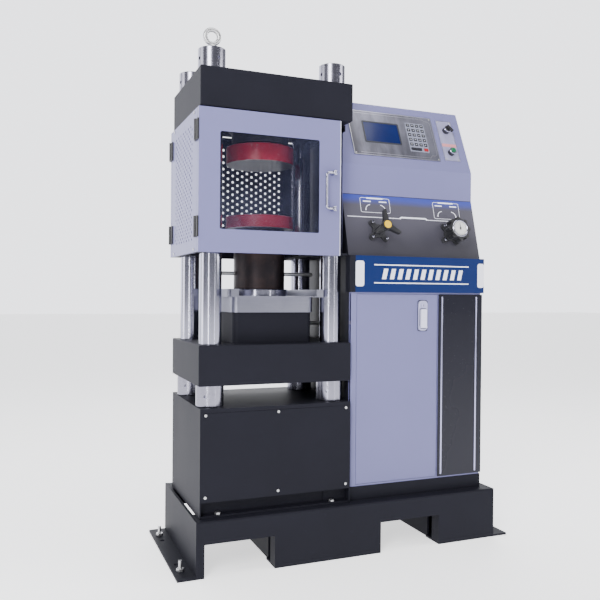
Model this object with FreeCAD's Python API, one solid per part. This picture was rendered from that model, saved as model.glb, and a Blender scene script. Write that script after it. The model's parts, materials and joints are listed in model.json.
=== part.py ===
import FreeCAD, Part
import math
import os
from FreeCAD import Vector

os.makedirs("parts", exist_ok=True)

# Four-column compression testing machine with its hydraulic cabinet.
# X runs to the right, Y to the back, Z up. The origin is the centre of the anchor-hole
# pattern at floor level. All lengths are millimetres.

# Clearances
GAP = 0.3
FIT = 0.05
SEAM = 1.5

# Base frame
PEDESTAL_INSET = 18.0
CABINET_CLEAR = 6.0
BASE_RIGHT_LEDGE = 30.0
BASE_DEPTH = 541.0
BASE_HEIGHT = 194.0
BEAM_DEPTH = 95.0
BEAM_WALL = 8.0
BEAM_EDGE_R = 7.0
END_PLATE_T = 10.0
FLANGE_REACH = 64.0
FLANGE_T = 8.0
POCKET_HEIGHT = 115.0
POCKET_WIDTH = 255.0
POCKET_INSET_LEFT = 157.0
POCKET_INSET_RIGHT = 386.0
JAMB_DEPTH = 50.0
CROSS_MEMBER_W = 60.0
ANCHOR_INSET = 27.0
ANCHOR_PITCH_Y = 260.0
ANCHOR_HOLE_R = 9.0
LEVELLING_PITCH_Y = 384.0
LEVELLING_SCREW_R = 6.0
LEVELLING_SCREW_L = 45.0
LEVELLING_NUT_AF = 24.0
LEVELLING_NUT_H = 10.0

# Load frame
FRAME_Y = -12.0
CROSSHEAD_W = 580.0
CROSSHEAD_D = 444.0
UPPER_CROSSHEAD_H = 139.5
LOWER_CROSSHEAD_H = 142.5
CROSSHEAD_EDGE_R = 4.0
COLUMN_R = 40.0
COLUMN_DX = 233.0
COLUMN_DY = 153.0
NUT_R = 50.0
NUT_H = 76.5
NUT_EDGE = 2.0
TOMMY_HOLE_R = 6.0
TOMMY_HOLE_DEPTH = 9.0
LOWER_NUT_TURN = 57.0
UPPER_NUT_TURN = 15.0
COLUMN_TIP_R = 30.0
COLUMN_TIP_DEPTH = 14.0

# Eye bolt
EYE_MEAN_R = 26.0
EYE_WIRE_R = 7.0
EYE_COLLAR_R = 17.0
EYE_COLLAR_H = 17.0
EYE_SHANK_R = 11.0
EYE_SHANK_L = 34.0

# Pedestal
PEDESTAL_W = 572.0
PEDESTAL_D = 461.0
PEDESTAL_H = 379.5
PEDESTAL_SHEET = 4.0
PEDESTAL_TOP_T = 14.0
PEDESTAL_FOOT_T = 8.0
PEDESTAL_LEG_W = 90.0
PEDESTAL_LEG_T = 8.0
PEDESTAL_LEDGE = 36.0
PEDESTAL_RISER_LAP = 22.0
PEDESTAL_PANEL_T = 2.5
PEDESTAL_SLOT_H = 56.0
PEDESTAL_SCREW_DX = 267.0
PEDESTAL_SCREW_EDGE = 8.0
HOLD_DOWN_DX = 218.0
HOLD_DOWN_INSET = 17.0
HOLD_DOWN_R = 6.0
HOLD_DOWN_AF = 19.0
HOLD_DOWN_HEAD_H = 8.0
PANEL_SCREW_R = 3.0
PANEL_SCREW_HEAD_R = 5.0
PANEL_SCREW_HEAD_H = 2.5
PANEL_SCREW_L = 8.0

# Hydraulic cylinder and dust tray
BLOCK_SIZE = 288.0
BLOCK_HEIGHT = 169.0
BLOCK_FLOOR = 36.0
BLOCK_PORT_SIDE = 18.0
BLOCK_CORNER_R = 20.0
PISTON_R = 110.0
PISTON_STAND = 29.0
PISTON_EDGE = 3.0
PISTON_STROKE = 50.0
PORT_R = 6.0
PORT_HEIGHT = 30.0
TRAY_W = 352.0
TRAY_T = 3.0
TRAY_WALL_H = 25.0
TRAY_TAB_W = 28.0
SKIRT_W = 304.0
SKIRT_H = 57.0
SKIRT_T = 2.0

# Platens
SPACER_R = 98.0
SPACER_H = 229.0
PLATEN_R = 130.0
LOWER_PLATEN_T = 48.0
PLATEN_EDGE = 1.5
SPIGOT_R = 25.0
SPIGOT_H = 8.0
DAYLIGHT = 199.0
UPPER_PLATEN_T = 66.0
BALL_R = 115.0
BALL_FLAT = 7.0
NECK_R = 66.0
NECK_H = 20.0
SEAT_R = 110.0
SEAT_H = 66.0
SEAT_FLANGE_R = 124.0
SEAT_FLANGE_H = 22.0
RING_T = 6.0
RING_LIP = 12.0
RING_BORE_R = 72.0
RING_SCREWS = 6
LIFT_BAR_R = 7.0
LIFT_BAR_REACH = 125.0
LIFT_BAR_SEAT = 22.0
LIFT_BAR_UP = 59.5
LIFT_BAR_ROUND = 3.0

# Guard
GUARD_H = 498.0
GUARD_DROP = 4.5
GUARD_W_LEFT = 297.0
GUARD_FRONT = 229.0
GUARD_D = 467.0
GUARD_SHEET = 2.0
DOOR_RETURN = 21.0
PANEL_FLANGE = 18.0
RIGHT_FOLD = 8.0
DOOR_W = 536.0
WINDOW_LEFT = 76.0
WINDOW_RIGHT = 86.0
WINDOW_BOTTOM = 80.5
WINDOW_TOP = 79.0
PANE_LAP = 10.0
PANE_T = 5.0
PERF_PITCH = 26.0
PERF_COLUMN_STEP = 20.0
PERF_R = 5.2
PERF_WIDTH = 262.0
PERF_HEIGHT = 404.0
PERF_SIDES = 6
RIGHT_PANEL_GAP = 9.0
BRACKET_T = 8.0
BRACKET_LEG = 22.0
BRACKET_RIM = 10.0
BRACKET_STAND = 1.0
ANGLE_T = 4.0
ANGLE_INSET = 30.0
POST_DY = 60.0
POST_W = 24.0
POST_T = 5.0
GUARD_SCREW_DY = 165.0
GUARD_SCREW_EDGE = 10.0
HINGE_LEAF = 25.0
HINGE_LEAF_T = 6.0
HINGE_KNUCKLE_R = 6.0
HINGE_PIN_R = 3.0
HINGE_H = 72.0
HINGE_FROM_BOTTOM = 87.0
HINGE_FROM_TOP = 78.0
CATCH_W = 30.0
CATCH_H = 18.0

# Folding door handle
HANDLE_INSET = 35.0
HANDLE_UP = 235.5
HANDLE_PITCH = 131.0
HANDLE_REACH = 31.0
HANDLE_BAR_R = 4.5
HANDLE_CORNER_R = 12.0
HANDLE_POST_R = 9.0
HANDLE_POST_L = 29.0
HANDLE_EYE_R = 6.5
HANDLE_EYE_H = 9.2
HANDLE_PIN_R = 2.5

# Cabinet
CABINET_W = 596.0
CABINET_FRONT = -218.0
CABINET_BACK = 215.0
PLINTH_H = 52.0
CABINET_SHEET = 2.0
PLINTH_INSET = 2.0
PLINTH_SHEET = 3.0
BAND_GAP = 6.0
BAND_H = 139.0
BAND_PROUD = 8.0
BAND_SIDE = 5.0
BAND_LAP = 26.0
BAND_SHEET = 2.0
VALVE_PANEL_SETBACK = 14.0
VALVE_PANEL_LEAN = 65.0
VALVE_PANEL_RISE = 244.0
VALVE_PANEL_T = 3.0
STRIP_H = 117.0
CONSOLE_LEAN = 119.0
CONSOLE_RISE = 272.0
CABINET_EDGE_R = 12.0
CABINET_DOOR_INSET = 28.0
CABINET_DOOR_W = 359.0
CABINET_DOOR_LIFT = 6.0
CABINET_DOOR_H = 724.0
CABINET_DOOR_RETURN = 18.0
CABINET_PIVOT_R = 2.5
CABINET_PIVOT_INSET = 4.5
CABINET_PIVOT_L = 8.0
DARK_PANEL_GAP = 3.0
DARK_PANEL_T = 4.0
MOULDING_W = 4.0
MOULDING_PROUD = 1.5
MOULDING_LEFT = 12.0
MOULDING_RIGHT = 32.0
MOULDING_END = 9.0
LOCK_INSET = 70.0
LOCK_DROP = 26.0
LOCK_W = 40.0
LOCK_H = 117.0
LOCK_T = 5.0
LOCK_LEVER_W = 26.0
LOCK_LEVER_L = 70.0
LOCK_LEVER_T = 8.0
LOCK_LEVER_TIP = 3.0
LOCK_HUB_UP = 14.0
LOCK_HUB_R = 3.2
LOCK_PIN_R = 1.5
LOCK_EAR_T = 3.5
KEY_BARREL_R = 9.0
KEY_BARREL_H = 4.0

# Console on the upper slope: distances up the slope from its lower edge
DISPLAY_INSET = 62.0
DISPLAY_W = 395.0
DISPLAY_S0 = 45.5
DISPLAY_S = 213.5
PLATE_T = 3.0
SCREEN_INSET = 64.0
SCREEN_W = 158.0
SCREEN_UP = 66.5
SCREEN_S = 93.0
SCREEN_T = 1.5
KEYPAD_INSET = 44.0
KEYPAD_W = 90.0
KEYPAD_UP = 36.5
KEYPAD_S = 140.0
KEYPAD_T = 1.0
KEY_COLUMNS = 4
KEY_ROWS = 5
KEY_W = 15.0
KEY_H = 14.0
KEY_RISE = 1.2
KEY_MARGIN = 5.0
SWITCH_GAP = 24.0
SWITCH_W = 75.0
SWITCH_S0 = 52.5
SWITCH_S = 200.0
SELECTOR_UP = 149.5
BUTTON_UP = 40.5
BEZEL_R = 15.0
BEZEL_H = 20.0
BEZEL_SEAT = 4.0
SELECTOR_R = 11.0
SELECTOR_H = 8.0
SELECTOR_GRIP_W = 9.0
SELECTOR_GRIP_H = 10.0
SELECTOR_GRIP_BACK = 6.0
SELECTOR_GRIP_REACH = 20.0
SELECTOR_REST_DEG = -50.0
BUTTON_R = 10.5
BUTTON_H = 5.0
BUTTON_TRAVEL = 3.0
STEM_R = 5.0
STEM_L = 32.0

# Hand valves on the lower slope
VALVE_S = 101.0
VALVE_INSET_LEFT = 138.0
VALVE_INSET_RIGHT = 130.5
FLANGE_R = 27.0
FLANGE_H = 9.0
FLANGE_BOLT_PCR = 42.0
FLANGE_EAR_R = 11.0
BONNET_R = 17.0
BONNET_H = 22.0
FLANGE_BOLT_R = 8.0
FLANGE_BOLT_H = 9.0
SPINDLE_R = 8.0
HANDLE_STAND = 78.0
HUB_R = 19.0
HUB_H = 24.0
SPOKE_REACH = 64.0
SPOKE_ROOT = 27.0
SPOKE_TIP_R = 5.5
SPOKE_T = 16.0
SPOKE_START_DEG = 92.0
CAP_R = 15.0
CAP_H = 4.0
KNOB_R = 46.0
KNOB_H = 34.0
KNOB_LOBES = 8
KNOB_LOBE_R = 9.0
DIAL_R = 35.0
DIAL_H = 10.0
DIAL_BEZEL = 5.0

# Inside the cabinet
TANK_INSET = 55.0
TANK_W = 500.0
TANK_SETBACK = 88.0
TANK_D = 320.0
TANK_H = 300.0
TANK_EDGE_R = 18.0
TANK_LID_T = 8.0
PUMP_IN = 350.0
PUMP_BACK = 170.0
PUMP_R = 58.0
PUMP_H = 78.0
PUMP_FLANGE_R = 80.0
PUMP_FLANGE_H = 12.0
MOTOR_R = 72.0
MOTOR_H = 230.0
MOTOR_FINS = 20
MOTOR_FIN_H = 7.0
MOTOR_FIN_T = 4.0
MOTOR_COWL_H = 46.0
MANIFOLD_IN = 90.0
MANIFOLD_W = 110.0
MANIFOLD_D = 90.0
MANIFOLD_H = 84.0
PIPE_R = 7.0
PIPE_WALL = 1.5
PIPE_BEND_R = 45.0
PIPE_OFFSET = 18.0
GROMMET_R = 14.0
FITTING_AF = 27.0
FITTING_L = 18.0

# Heights that follow from the pieces that stand on each other
pedestal_top = BASE_HEIGHT + PEDESTAL_H
lower_crosshead_z = pedestal_top + NUT_H
block_z = lower_crosshead_z + LOWER_CROSSHEAD_H
tray_z = block_z + BLOCK_HEIGHT
piston_top = tray_z + PISTON_STAND
spacer_top = piston_top + SPACER_H
lower_face_z = spacer_top + LOWER_PLATEN_T
upper_face_z = lower_face_z + DAYLIGHT
upper_crosshead_z = upper_face_z + UPPER_PLATEN_T + NECK_H + SEAT_H
upper_nut_z = upper_crosshead_z + UPPER_CROSSHEAD_H
column_top = upper_nut_z + NUT_H
port_z = block_z + PORT_HEIGHT + BLOCK_FLOOR

# Places along the base, from its left end
base_length = PEDESTAL_INSET + PEDESTAL_W + CABINET_CLEAR + CABINET_W + BASE_RIGHT_LEDGE
pocket_left_x = POCKET_INSET_LEFT - base_length / 2
pocket_right_x = base_length / 2 - POCKET_INSET_RIGHT
frame_x = PEDESTAL_INSET + PEDESTAL_W / 2 - base_length / 2
column_places = [(frame_x + sx * COLUMN_DX, FRAME_Y + sy * COLUMN_DY)
                 for sy in (-1, 1) for sx in (-1, 1)]

# The cabinet's own places
cabinet_x0 = frame_x + PEDESTAL_W / 2 + CABINET_CLEAR
cabinet_x1 = cabinet_x0 + CABINET_W
cabinet_z0 = BASE_HEIGHT + PLINTH_H
cabinet_door_x0 = cabinet_x0 + CABINET_DOOR_INSET
cabinet_door_x1 = cabinet_door_x0 + CABINET_DOOR_W
cabinet_door_z0 = cabinet_z0 + CABINET_DOOR_LIFT
cabinet_door_z1 = cabinet_door_z0 + CABINET_DOOR_H
pivot_x = cabinet_door_x0 + CABINET_PIVOT_INSET
pivot_y = CABINET_FRONT + CABINET_PIVOT_INSET - SEAM
dark_panel_x0 = cabinet_door_x1 + DARK_PANEL_GAP
lock_x = cabinet_door_x1 - LOCK_INSET
lock_z0 = cabinet_door_z1 - LOCK_DROP - LOCK_H
band_z0 = cabinet_door_z1 + BAND_GAP
band_z1 = band_z0 + BAND_H
valve_panel_y0 = CABINET_FRONT + VALVE_PANEL_SETBACK
strip_y = valve_panel_y0 + VALVE_PANEL_LEAN
strip_z0 = band_z1 + VALVE_PANEL_RISE
strip_z1 = strip_z0 + STRIP_H
roof_y = strip_y + CONSOLE_LEAN
roof_z = strip_z1 + CONSOLE_RISE
left_valve_x = cabinet_x0 + VALVE_INSET_LEFT
right_valve_x = cabinet_x1 - VALVE_INSET_RIGHT
display_x0 = cabinet_x0 + DISPLAY_INSET
screen_x0 = display_x0 + SCREEN_INSET
screen_s0 = DISPLAY_S0 + SCREEN_UP
keypad_x0 = display_x0 + DISPLAY_W - KEYPAD_INSET - KEYPAD_W
keypad_s0 = DISPLAY_S0 + KEYPAD_UP
switch_x0 = display_x0 + DISPLAY_W + SWITCH_GAP
switch_x = switch_x0 + SWITCH_W / 2
selector_s = SWITCH_S0 + SELECTOR_UP
button_s = SWITCH_S0 + BUTTON_UP

# The guard's own places
guard_x0 = frame_x - GUARD_W_LEFT
guard_y0 = FRAME_Y - GUARD_FRONT
guard_y1 = guard_y0 + GUARD_D
guard_z1 = upper_crosshead_z - GUARD_DROP
guard_z0 = guard_z1 - GUARD_H
side_y0 = guard_y0 + DOOR_RETURN + SEAM
side_y1 = guard_y1 - DOOR_RETURN - SEAM
right_panel_x = cabinet_x0 - RIGHT_PANEL_GAP
window_x0 = guard_x0 + WINDOW_LEFT
window_w = DOOR_W - WINDOW_LEFT - WINDOW_RIGHT
window_z0 = guard_z0 + WINDOW_BOTTOM
window_h = GUARD_H - WINDOW_BOTTOM - WINDOW_TOP
hinge_x = guard_x0 - HINGE_KNUCKLE_R - GAP
hinge_low_z = guard_z0 + HINGE_FROM_BOTTOM
hinge_high_z = guard_z1 - HINGE_FROM_TOP
front_seam_y = guard_y0 + DOOR_RETURN + SEAM / 2
rear_seam_y = guard_y1 - DOOR_RETURN - SEAM / 2
handle_x = guard_x0 + DOOR_W - HANDLE_INSET
handle_z = guard_z0 + HANDLE_UP

# The hydraulic unit's places
tank_x0 = cabinet_x0 + TANK_INSET
tank_y0 = CABINET_FRONT + TANK_SETBACK
tank_z0 = cabinet_z0 + CABINET_SHEET
tank_top = tank_z0 + TANK_H
pump_x = tank_x0 + PUMP_IN
pump_y = tank_y0 + PUMP_BACK
motor_z0 = tank_top + PUMP_H + PUMP_FLANGE_H
manifold_x = tank_x0 + MANIFOLD_IN
pipe_y = FRAME_Y - PIPE_OFFSET

X_AXIS = Vector(1, 0, 0)
Y_AXIS = Vector(0, 1, 0)
Z_AXIS = Vector(0, 0, 1)


def box(x0, x1, y0, y1, z0, z1):
    return Part.makeBox(x1 - x0, y1 - y0, z1 - z0, Vector(x0, y0, z0))


def rod(r, length, start, axis=Z_AXIS):
    return Part.makeCylinder(r, length, start, axis)


def prism(points, sweep):
    """A flat outline through the points, pushed along the sweep vector."""
    wire = Part.makePolygon([Vector(*p) for p in points] + [Vector(*points[0])])
    return Part.Face(wire).extrude(sweep)


def turned(profile, x, y):
    """A solid of revolution about the vertical at x, y from (radius, z) points."""
    points = [Vector(r, 0, z) for r, z in profile]
    face = Part.Face(Part.makePolygon(points + [points[0]]))
    solid = face.revolve(Vector(0, 0, 0), Z_AXIS, 360)
    solid.translate(Vector(x, y, 0))
    return solid


def hexagon(across_flats, height, start, axis=Z_AXIS):
    """A hexagonal prism that starts at a point and runs along an axis."""
    radius = across_flats / math.sqrt(3)
    corners = [Vector(radius * math.cos(math.radians(60 * i)),
                      radius * math.sin(math.radians(60 * i)), 0) for i in range(7)]
    solid = Part.Face(Part.makePolygon(corners)).extrude(Vector(0, 0, height))
    solid.Placement = FreeCAD.Placement(start, FreeCAD.Rotation(Z_AXIS, axis))
    return solid


def fuse(first, *others):
    return first.fuse(list(others)).removeSplitter()


def cut(first, *others):
    return first.cut(list(others))


def soften(shape, radius, wanted):
    """Round the edges that the wanted test picks."""
    edges = [e for e in shape.Edges if wanted(e)]
    return shape.makeFillet(radius, edges)


def is_along(edge, axis):
    a, b = edge.Vertexes[0].Point, edge.Vertexes[-1].Point
    span = b.sub(a)
    return span.Length > 1e-6 and abs(abs(span.dot(axis)) - span.Length) < 1e-6


def export(name, *solids):
    shape = solids[0] if len(solids) == 1 else Part.makeCompound(list(solids))
    shape.exportStep("parts/" + name + ".step")


# Base frame

def base_beam(front):
    """A channel beam with its web outwards and two fork pockets cut through it."""
    side = -1 if front else 1
    outer = side * BASE_DEPTH / 2
    half = base_length / 2 - END_PLATE_T
    y = sorted((outer, outer - side * BEAM_DEPTH))
    beam = box(-half, half, y[0], y[1], 0, BASE_HEIGHT)
    beam = soften(beam, BEAM_EDGE_R, lambda e: is_along(e, X_AXIS)
                  and abs(e.CenterOfMass.y - outer) < 0.1 and e.CenterOfMass.z > BASE_HEIGHT / 2)
    inner = sorted((outer - side * BEAM_WALL, outer - side * (BEAM_DEPTH + 1)))
    beam = cut(beam, box(-half - 1, half + 1, inner[0], inner[1], BEAM_WALL, BASE_HEIGHT - BEAM_WALL))
    jamb = sorted((outer - side * BEAM_WALL, outer - side * JAMB_DEPTH))
    for x in (pocket_left_x, pocket_right_x):
        x0, x1 = x - POCKET_WIDTH / 2, x + POCKET_WIDTH / 2
        frame = box(x0 - BEAM_WALL, x1 + BEAM_WALL, jamb[0], jamb[1], 0, POCKET_HEIGHT + BEAM_WALL)
        beam = fuse(beam, frame)
        beam = cut(beam, box(x0, x1, y[0] - 1, y[1] + 1, -1, POCKET_HEIGHT))
    return beam


def end_plate(side):
    """An end plate with its floor flange, drilled for anchors and levelling screws."""
    x_in, x_out = side * (base_length / 2 - END_PLATE_T), side * base_length / 2
    x_tip = side * (base_length / 2 + FLANGE_REACH)
    xs, xf = sorted((x_in, x_out)), sorted((x_in, x_tip))
    half = BASE_DEPTH / 2
    plate = fuse(box(xs[0], xs[1], -half, half, 0, BASE_HEIGHT),
                 box(xf[0], xf[1], -half, half, 0, FLANGE_T))
    x = side * (base_length / 2 + FLANGE_REACH - ANCHOR_INSET)
    holes = []
    for sy in (-1, 1):
        holes.append(rod(ANCHOR_HOLE_R, FLANGE_T + 2, Vector(x, sy * ANCHOR_PITCH_Y / 2, -1)))
        holes.append(rod(LEVELLING_SCREW_R + FIT, FLANGE_T + 2,
                         Vector(x, sy * LEVELLING_PITCH_Y / 2, -1)))
    return cut(plate, *holes)


def cross_members():
    """Channels from beam to beam beside the fork pockets."""
    y0 = -BASE_DEPTH / 2 + BEAM_DEPTH
    y1 = -y0
    pocket = POCKET_WIDTH / 2
    places = [pocket_left_x + pocket + BEAM_WALL, pocket_right_x - pocket - BEAM_WALL - CROSS_MEMBER_W,
              pocket_right_x + pocket + BEAM_WALL, base_length / 2 - END_PLATE_T - CROSS_MEMBER_W]
    members = []
    for x in places:
        tube = box(x, x + CROSS_MEMBER_W, y0, y1, 0, BASE_HEIGHT)
        hollow = box(x + BEAM_WALL, x + CROSS_MEMBER_W - BEAM_WALL, y0 - 1, y1 + 1,
                     BEAM_WALL, BASE_HEIGHT - BEAM_WALL)
        members.append(cut(tube, hollow))
    return members


def levelling_screws():
    x = base_length / 2 + FLANGE_REACH - ANCHOR_INSET
    pieces = []
    for sx in (-1, 1):
        for sy in (-1, 1):
            place = Vector(sx * x, sy * LEVELLING_PITCH_Y / 2, 0)
            pieces.append(rod(LEVELLING_SCREW_R, LEVELLING_SCREW_L, place))
            nut = hexagon(LEVELLING_NUT_AF, LEVELLING_NUT_H, place + Vector(0, 0, FLANGE_T))
            bore = rod(LEVELLING_SCREW_R + FIT, LEVELLING_NUT_H, place + Vector(0, 0, FLANGE_T))
            pieces.append(cut(nut, bore))
    return pieces


# Pedestal

ped_x0 = frame_x - PEDESTAL_W / 2
ped_x1 = frame_x + PEDESTAL_W / 2
ped_y0 = FRAME_Y - PEDESTAL_D / 2
ped_y1 = FRAME_Y + PEDESTAL_D / 2
hold_down_y0 = ped_y0 + HOLD_DOWN_INSET
hold_down_y1 = ped_y1 - HOLD_DOWN_INSET


def hold_down_places():
    return [(frame_x + sx * HOLD_DOWN_DX, y) for y in (hold_down_y0, hold_down_y1) for sx in (-1, 1)]


def pedestal_frame():
    """Thick top plate on four angle legs, foot plate, and the riser behind the front ledge."""
    sheet = PEDESTAL_SHEET
    x0, x1, y1 = ped_x0 + sheet, ped_x1 - sheet, ped_y1 - sheet
    z0, z1 = BASE_HEIGHT, pedestal_top - PEDESTAL_TOP_T
    top = box(ped_x0, ped_x1, ped_y0, ped_y1, z1, pedestal_top)
    foot = box(x0, x1, ped_y0 + sheet, y1, z0, z0 + PEDESTAL_FOOT_T)
    riser_y = ped_y0 + PEDESTAL_LEDGE
    riser = box(x0, x1, riser_y, riser_y + sheet, z0, z0 + PEDESTAL_SLOT_H + PEDESTAL_RISER_LAP)
    legs = []
    for x, y in column_places:
        sx, sy = math.copysign(1, x - frame_x), math.copysign(1, y - FRAME_Y)
        outer_x, outer_y = frame_x + sx * (x1 - x0) / 2, y + sy * PEDESTAL_LEG_W / 2
        xs = sorted((outer_x, outer_x - sx * PEDESTAL_LEG_W))
        ys = sorted((outer_y, outer_y - sy * PEDESTAL_LEG_W))
        hollow_x = sorted((outer_x - sx * PEDESTAL_LEG_T, outer_x - sx * (PEDESTAL_LEG_W + 1)))
        hollow_y = sorted((outer_y - sy * PEDESTAL_LEG_T, outer_y - sy * (PEDESTAL_LEG_W + 1)))
        legs.append(cut(box(xs[0], xs[1], ys[0], ys[1], z0, z1),
                        box(hollow_x[0], hollow_x[1], hollow_y[0], hollow_y[1], z0 - 1, z1 + 1)))
    frame = fuse(top, foot, riser, *legs)
    tips = [rod(COLUMN_TIP_R + GAP, PEDESTAL_TOP_T + 2, Vector(x, y, pedestal_top - PEDESTAL_TOP_T - 1))
            for x, y in column_places]
    bolts = [rod(HOLD_DOWN_R + GAP, PEDESTAL_FOOT_T + 2, Vector(x, y, BASE_HEIGHT - 1))
             for x, y in hold_down_places()]
    return cut(frame, *tips, *bolts)


def pedestal_shell():
    """Side and back sheets bent from one blank, with front flanges behind the panel."""
    sheet = PEDESTAL_SHEET
    z0, z1 = BASE_HEIGHT, pedestal_top - PEDESTAL_TOP_T
    shell = box(ped_x0, ped_x1, ped_y0, ped_y1, z0, z1)
    inside = box(ped_x0 + sheet, ped_x1 - sheet, ped_y0 - 1, ped_y1 - sheet, z0 - 1, z1 + 1)
    shell = cut(shell, inside)
    for x0, x1 in ((ped_x0 + sheet, ped_x0 + sheet + 14), (ped_x1 - sheet - 14, ped_x1 - sheet)):
        y0 = ped_y0 + PEDESTAL_PANEL_T
        shell = fuse(shell, box(x0, x1, y0, y0 + sheet, z0 + PEDESTAL_SLOT_H, z1))
    rail_z = z1 - 14
    shell = fuse(shell, box(ped_x0 + sheet, ped_x1 - sheet, ped_y0 + PEDESTAL_PANEL_T,
                            ped_y0 + PEDESTAL_PANEL_T + sheet, rail_z, z1),
                 box(ped_x0 + sheet, ped_x1 - sheet, ped_y0 + PEDESTAL_PANEL_T,
                     ped_y0 + PEDESTAL_PANEL_T + sheet, z0 + PEDESTAL_SLOT_H, z0 + PEDESTAL_SLOT_H + 24))
    return cut(shell, *[rod(PANEL_SCREW_R, PANEL_SCREW_L, place, Y_AXIS)
                        for place in pedestal_screw_places()])


def pedestal_screw_places():
    z1 = pedestal_top - PEDESTAL_TOP_T - PEDESTAL_SCREW_EDGE
    z0 = BASE_HEIGHT + PEDESTAL_SLOT_H + 18
    return [Vector(frame_x + sx * PEDESTAL_SCREW_DX, ped_y0, z) for z in (z0, z1) for sx in (-1, 0, 1)]


def pedestal_front_panel():
    sheet = PEDESTAL_SHEET
    z0, z1 = BASE_HEIGHT + PEDESTAL_SLOT_H, pedestal_top - PEDESTAL_TOP_T
    panel = box(ped_x0 + sheet, ped_x1 - sheet, ped_y0, ped_y0 + PEDESTAL_PANEL_T, z0, z1 - 1)
    holes = [rod(PANEL_SCREW_R, PANEL_SCREW_L, place, Y_AXIS) for place in pedestal_screw_places()]
    return cut(panel, *holes)


def pan_head_screw(place, inward):
    """A pan-head screw whose head lies on the surface and whose shank runs inwards."""
    head = rod(PANEL_SCREW_HEAD_R, PANEL_SCREW_HEAD_H,
               place - inward * PANEL_SCREW_HEAD_H, inward)
    shank = rod(PANEL_SCREW_R - FIT, PANEL_SCREW_L, place, inward)
    return fuse(head, shank)


def hold_down_bolts():
    bolts = []
    seat = BASE_HEIGHT + PEDESTAL_FOOT_T
    for x, y in hold_down_places():
        head = hexagon(HOLD_DOWN_AF, HOLD_DOWN_HEAD_H, Vector(x, y, seat))
        shank = rod(HOLD_DOWN_R, PEDESTAL_FOOT_T, Vector(x, y, BASE_HEIGHT))
        bolts.append(fuse(head, shank))
    return bolts


# Load frame

def crosshead(z0, height):
    half_w, half_d = CROSSHEAD_W / 2, CROSSHEAD_D / 2
    block = box(frame_x - half_w, frame_x + half_w, FRAME_Y - half_d, FRAME_Y + half_d, z0, z0 + height)
    block = soften(block, CROSSHEAD_EDGE_R, lambda e: True)
    bores = [rod(COLUMN_R + FIT, height + 2, Vector(x, y, z0 - 1)) for x, y in column_places]
    return cut(block, *bores)


def columns():
    """Ground columns with a reduced tip below and a tapped hole in the top."""
    solids = []
    for x, y in column_places:
        column = rod(COLUMN_R, column_top - pedestal_top - GAP, Vector(x, y, pedestal_top + GAP))
        tip = rod(COLUMN_TIP_R, COLUMN_TIP_DEPTH + GAP, Vector(x, y, pedestal_top - COLUMN_TIP_DEPTH))
        hole = rod(EYE_SHANK_R + FIT, EYE_SHANK_L + 4, Vector(x, y, column_top - EYE_SHANK_L - 4))
        solids.append(cut(fuse(column, tip), hole))
    return solids


def column_nut(x, y, z0, turn):
    """A round nut with four radial holes for a tommy bar."""
    z1 = z0 + NUT_H
    inner, outer, edge = COLUMN_R + FIT, NUT_R, NUT_EDGE
    nut = turned([(inner, z0), (outer - edge, z0), (outer, z0 + edge), (outer, z1 - edge),
                  (outer - edge, z1), (inner, z1)], x, y)
    holes = []
    for i in range(4):
        a = math.radians(turn + 90 * i)
        outward = Vector(math.cos(a), math.sin(a), 0)
        start = Vector(x, y, z0 + NUT_H / 2) + outward * (outer - TOMMY_HOLE_DEPTH)
        holes.append(rod(TOMMY_HOLE_R, TOMMY_HOLE_DEPTH + 1, start, outward))
    return cut(nut, *holes)


def eye_bolt():
    """The lifting eye in the front left column, its ring square to the front."""
    x, y = column_places[0]
    base = column_top
    centre = Vector(x, y, base + EYE_COLLAR_H + EYE_MEAN_R + EYE_WIRE_R - 3)
    ring = Part.makeTorus(EYE_MEAN_R, EYE_WIRE_R, centre, Y_AXIS)
    collar = Part.makeCone(EYE_COLLAR_R, EYE_COLLAR_R - 5, EYE_COLLAR_H, Vector(x, y, base))
    shank = rod(EYE_SHANK_R, EYE_SHANK_L, Vector(x, y, base - EYE_SHANK_L))
    return fuse(ring, collar, shank)


# Hydraulic cylinder, tray and ram

def cylinder_block():
    """The block with the cylinder bore, wider on the side of its oil port."""
    half = BLOCK_SIZE / 2
    right = frame_x + half + BLOCK_PORT_SIDE
    block = box(frame_x - half, right, FRAME_Y - half, FRAME_Y + half, block_z, tray_z)
    block = soften(block, BLOCK_CORNER_R, lambda e: is_along(e, Z_AXIS))
    bore = rod(PISTON_R + FIT, BLOCK_HEIGHT, Vector(frame_x, FRAME_Y, block_z + BLOCK_FLOOR))
    port = rod(PORT_R, half, Vector(frame_x + half - 42, pipe_y, port_z), X_AXIS)
    return cut(block, bore, port)


def piston():
    z0 = block_z + BLOCK_FLOOR + GAP
    r, e = PISTON_R, PISTON_EDGE
    groove = 4.0
    profile = [(0, z0), (r - e, z0), (r, z0 + e), (r, z0 + 24), (r - groove, z0 + 24),
               (r - groove, z0 + 32), (r, z0 + 32), (r, piston_top - e), (r - e, piston_top),
               (SPIGOT_R, piston_top), (SPIGOT_R, piston_top - SPIGOT_H), (0, piston_top - SPIGOT_H)]
    return turned(profile, frame_x, FRAME_Y)


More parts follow.
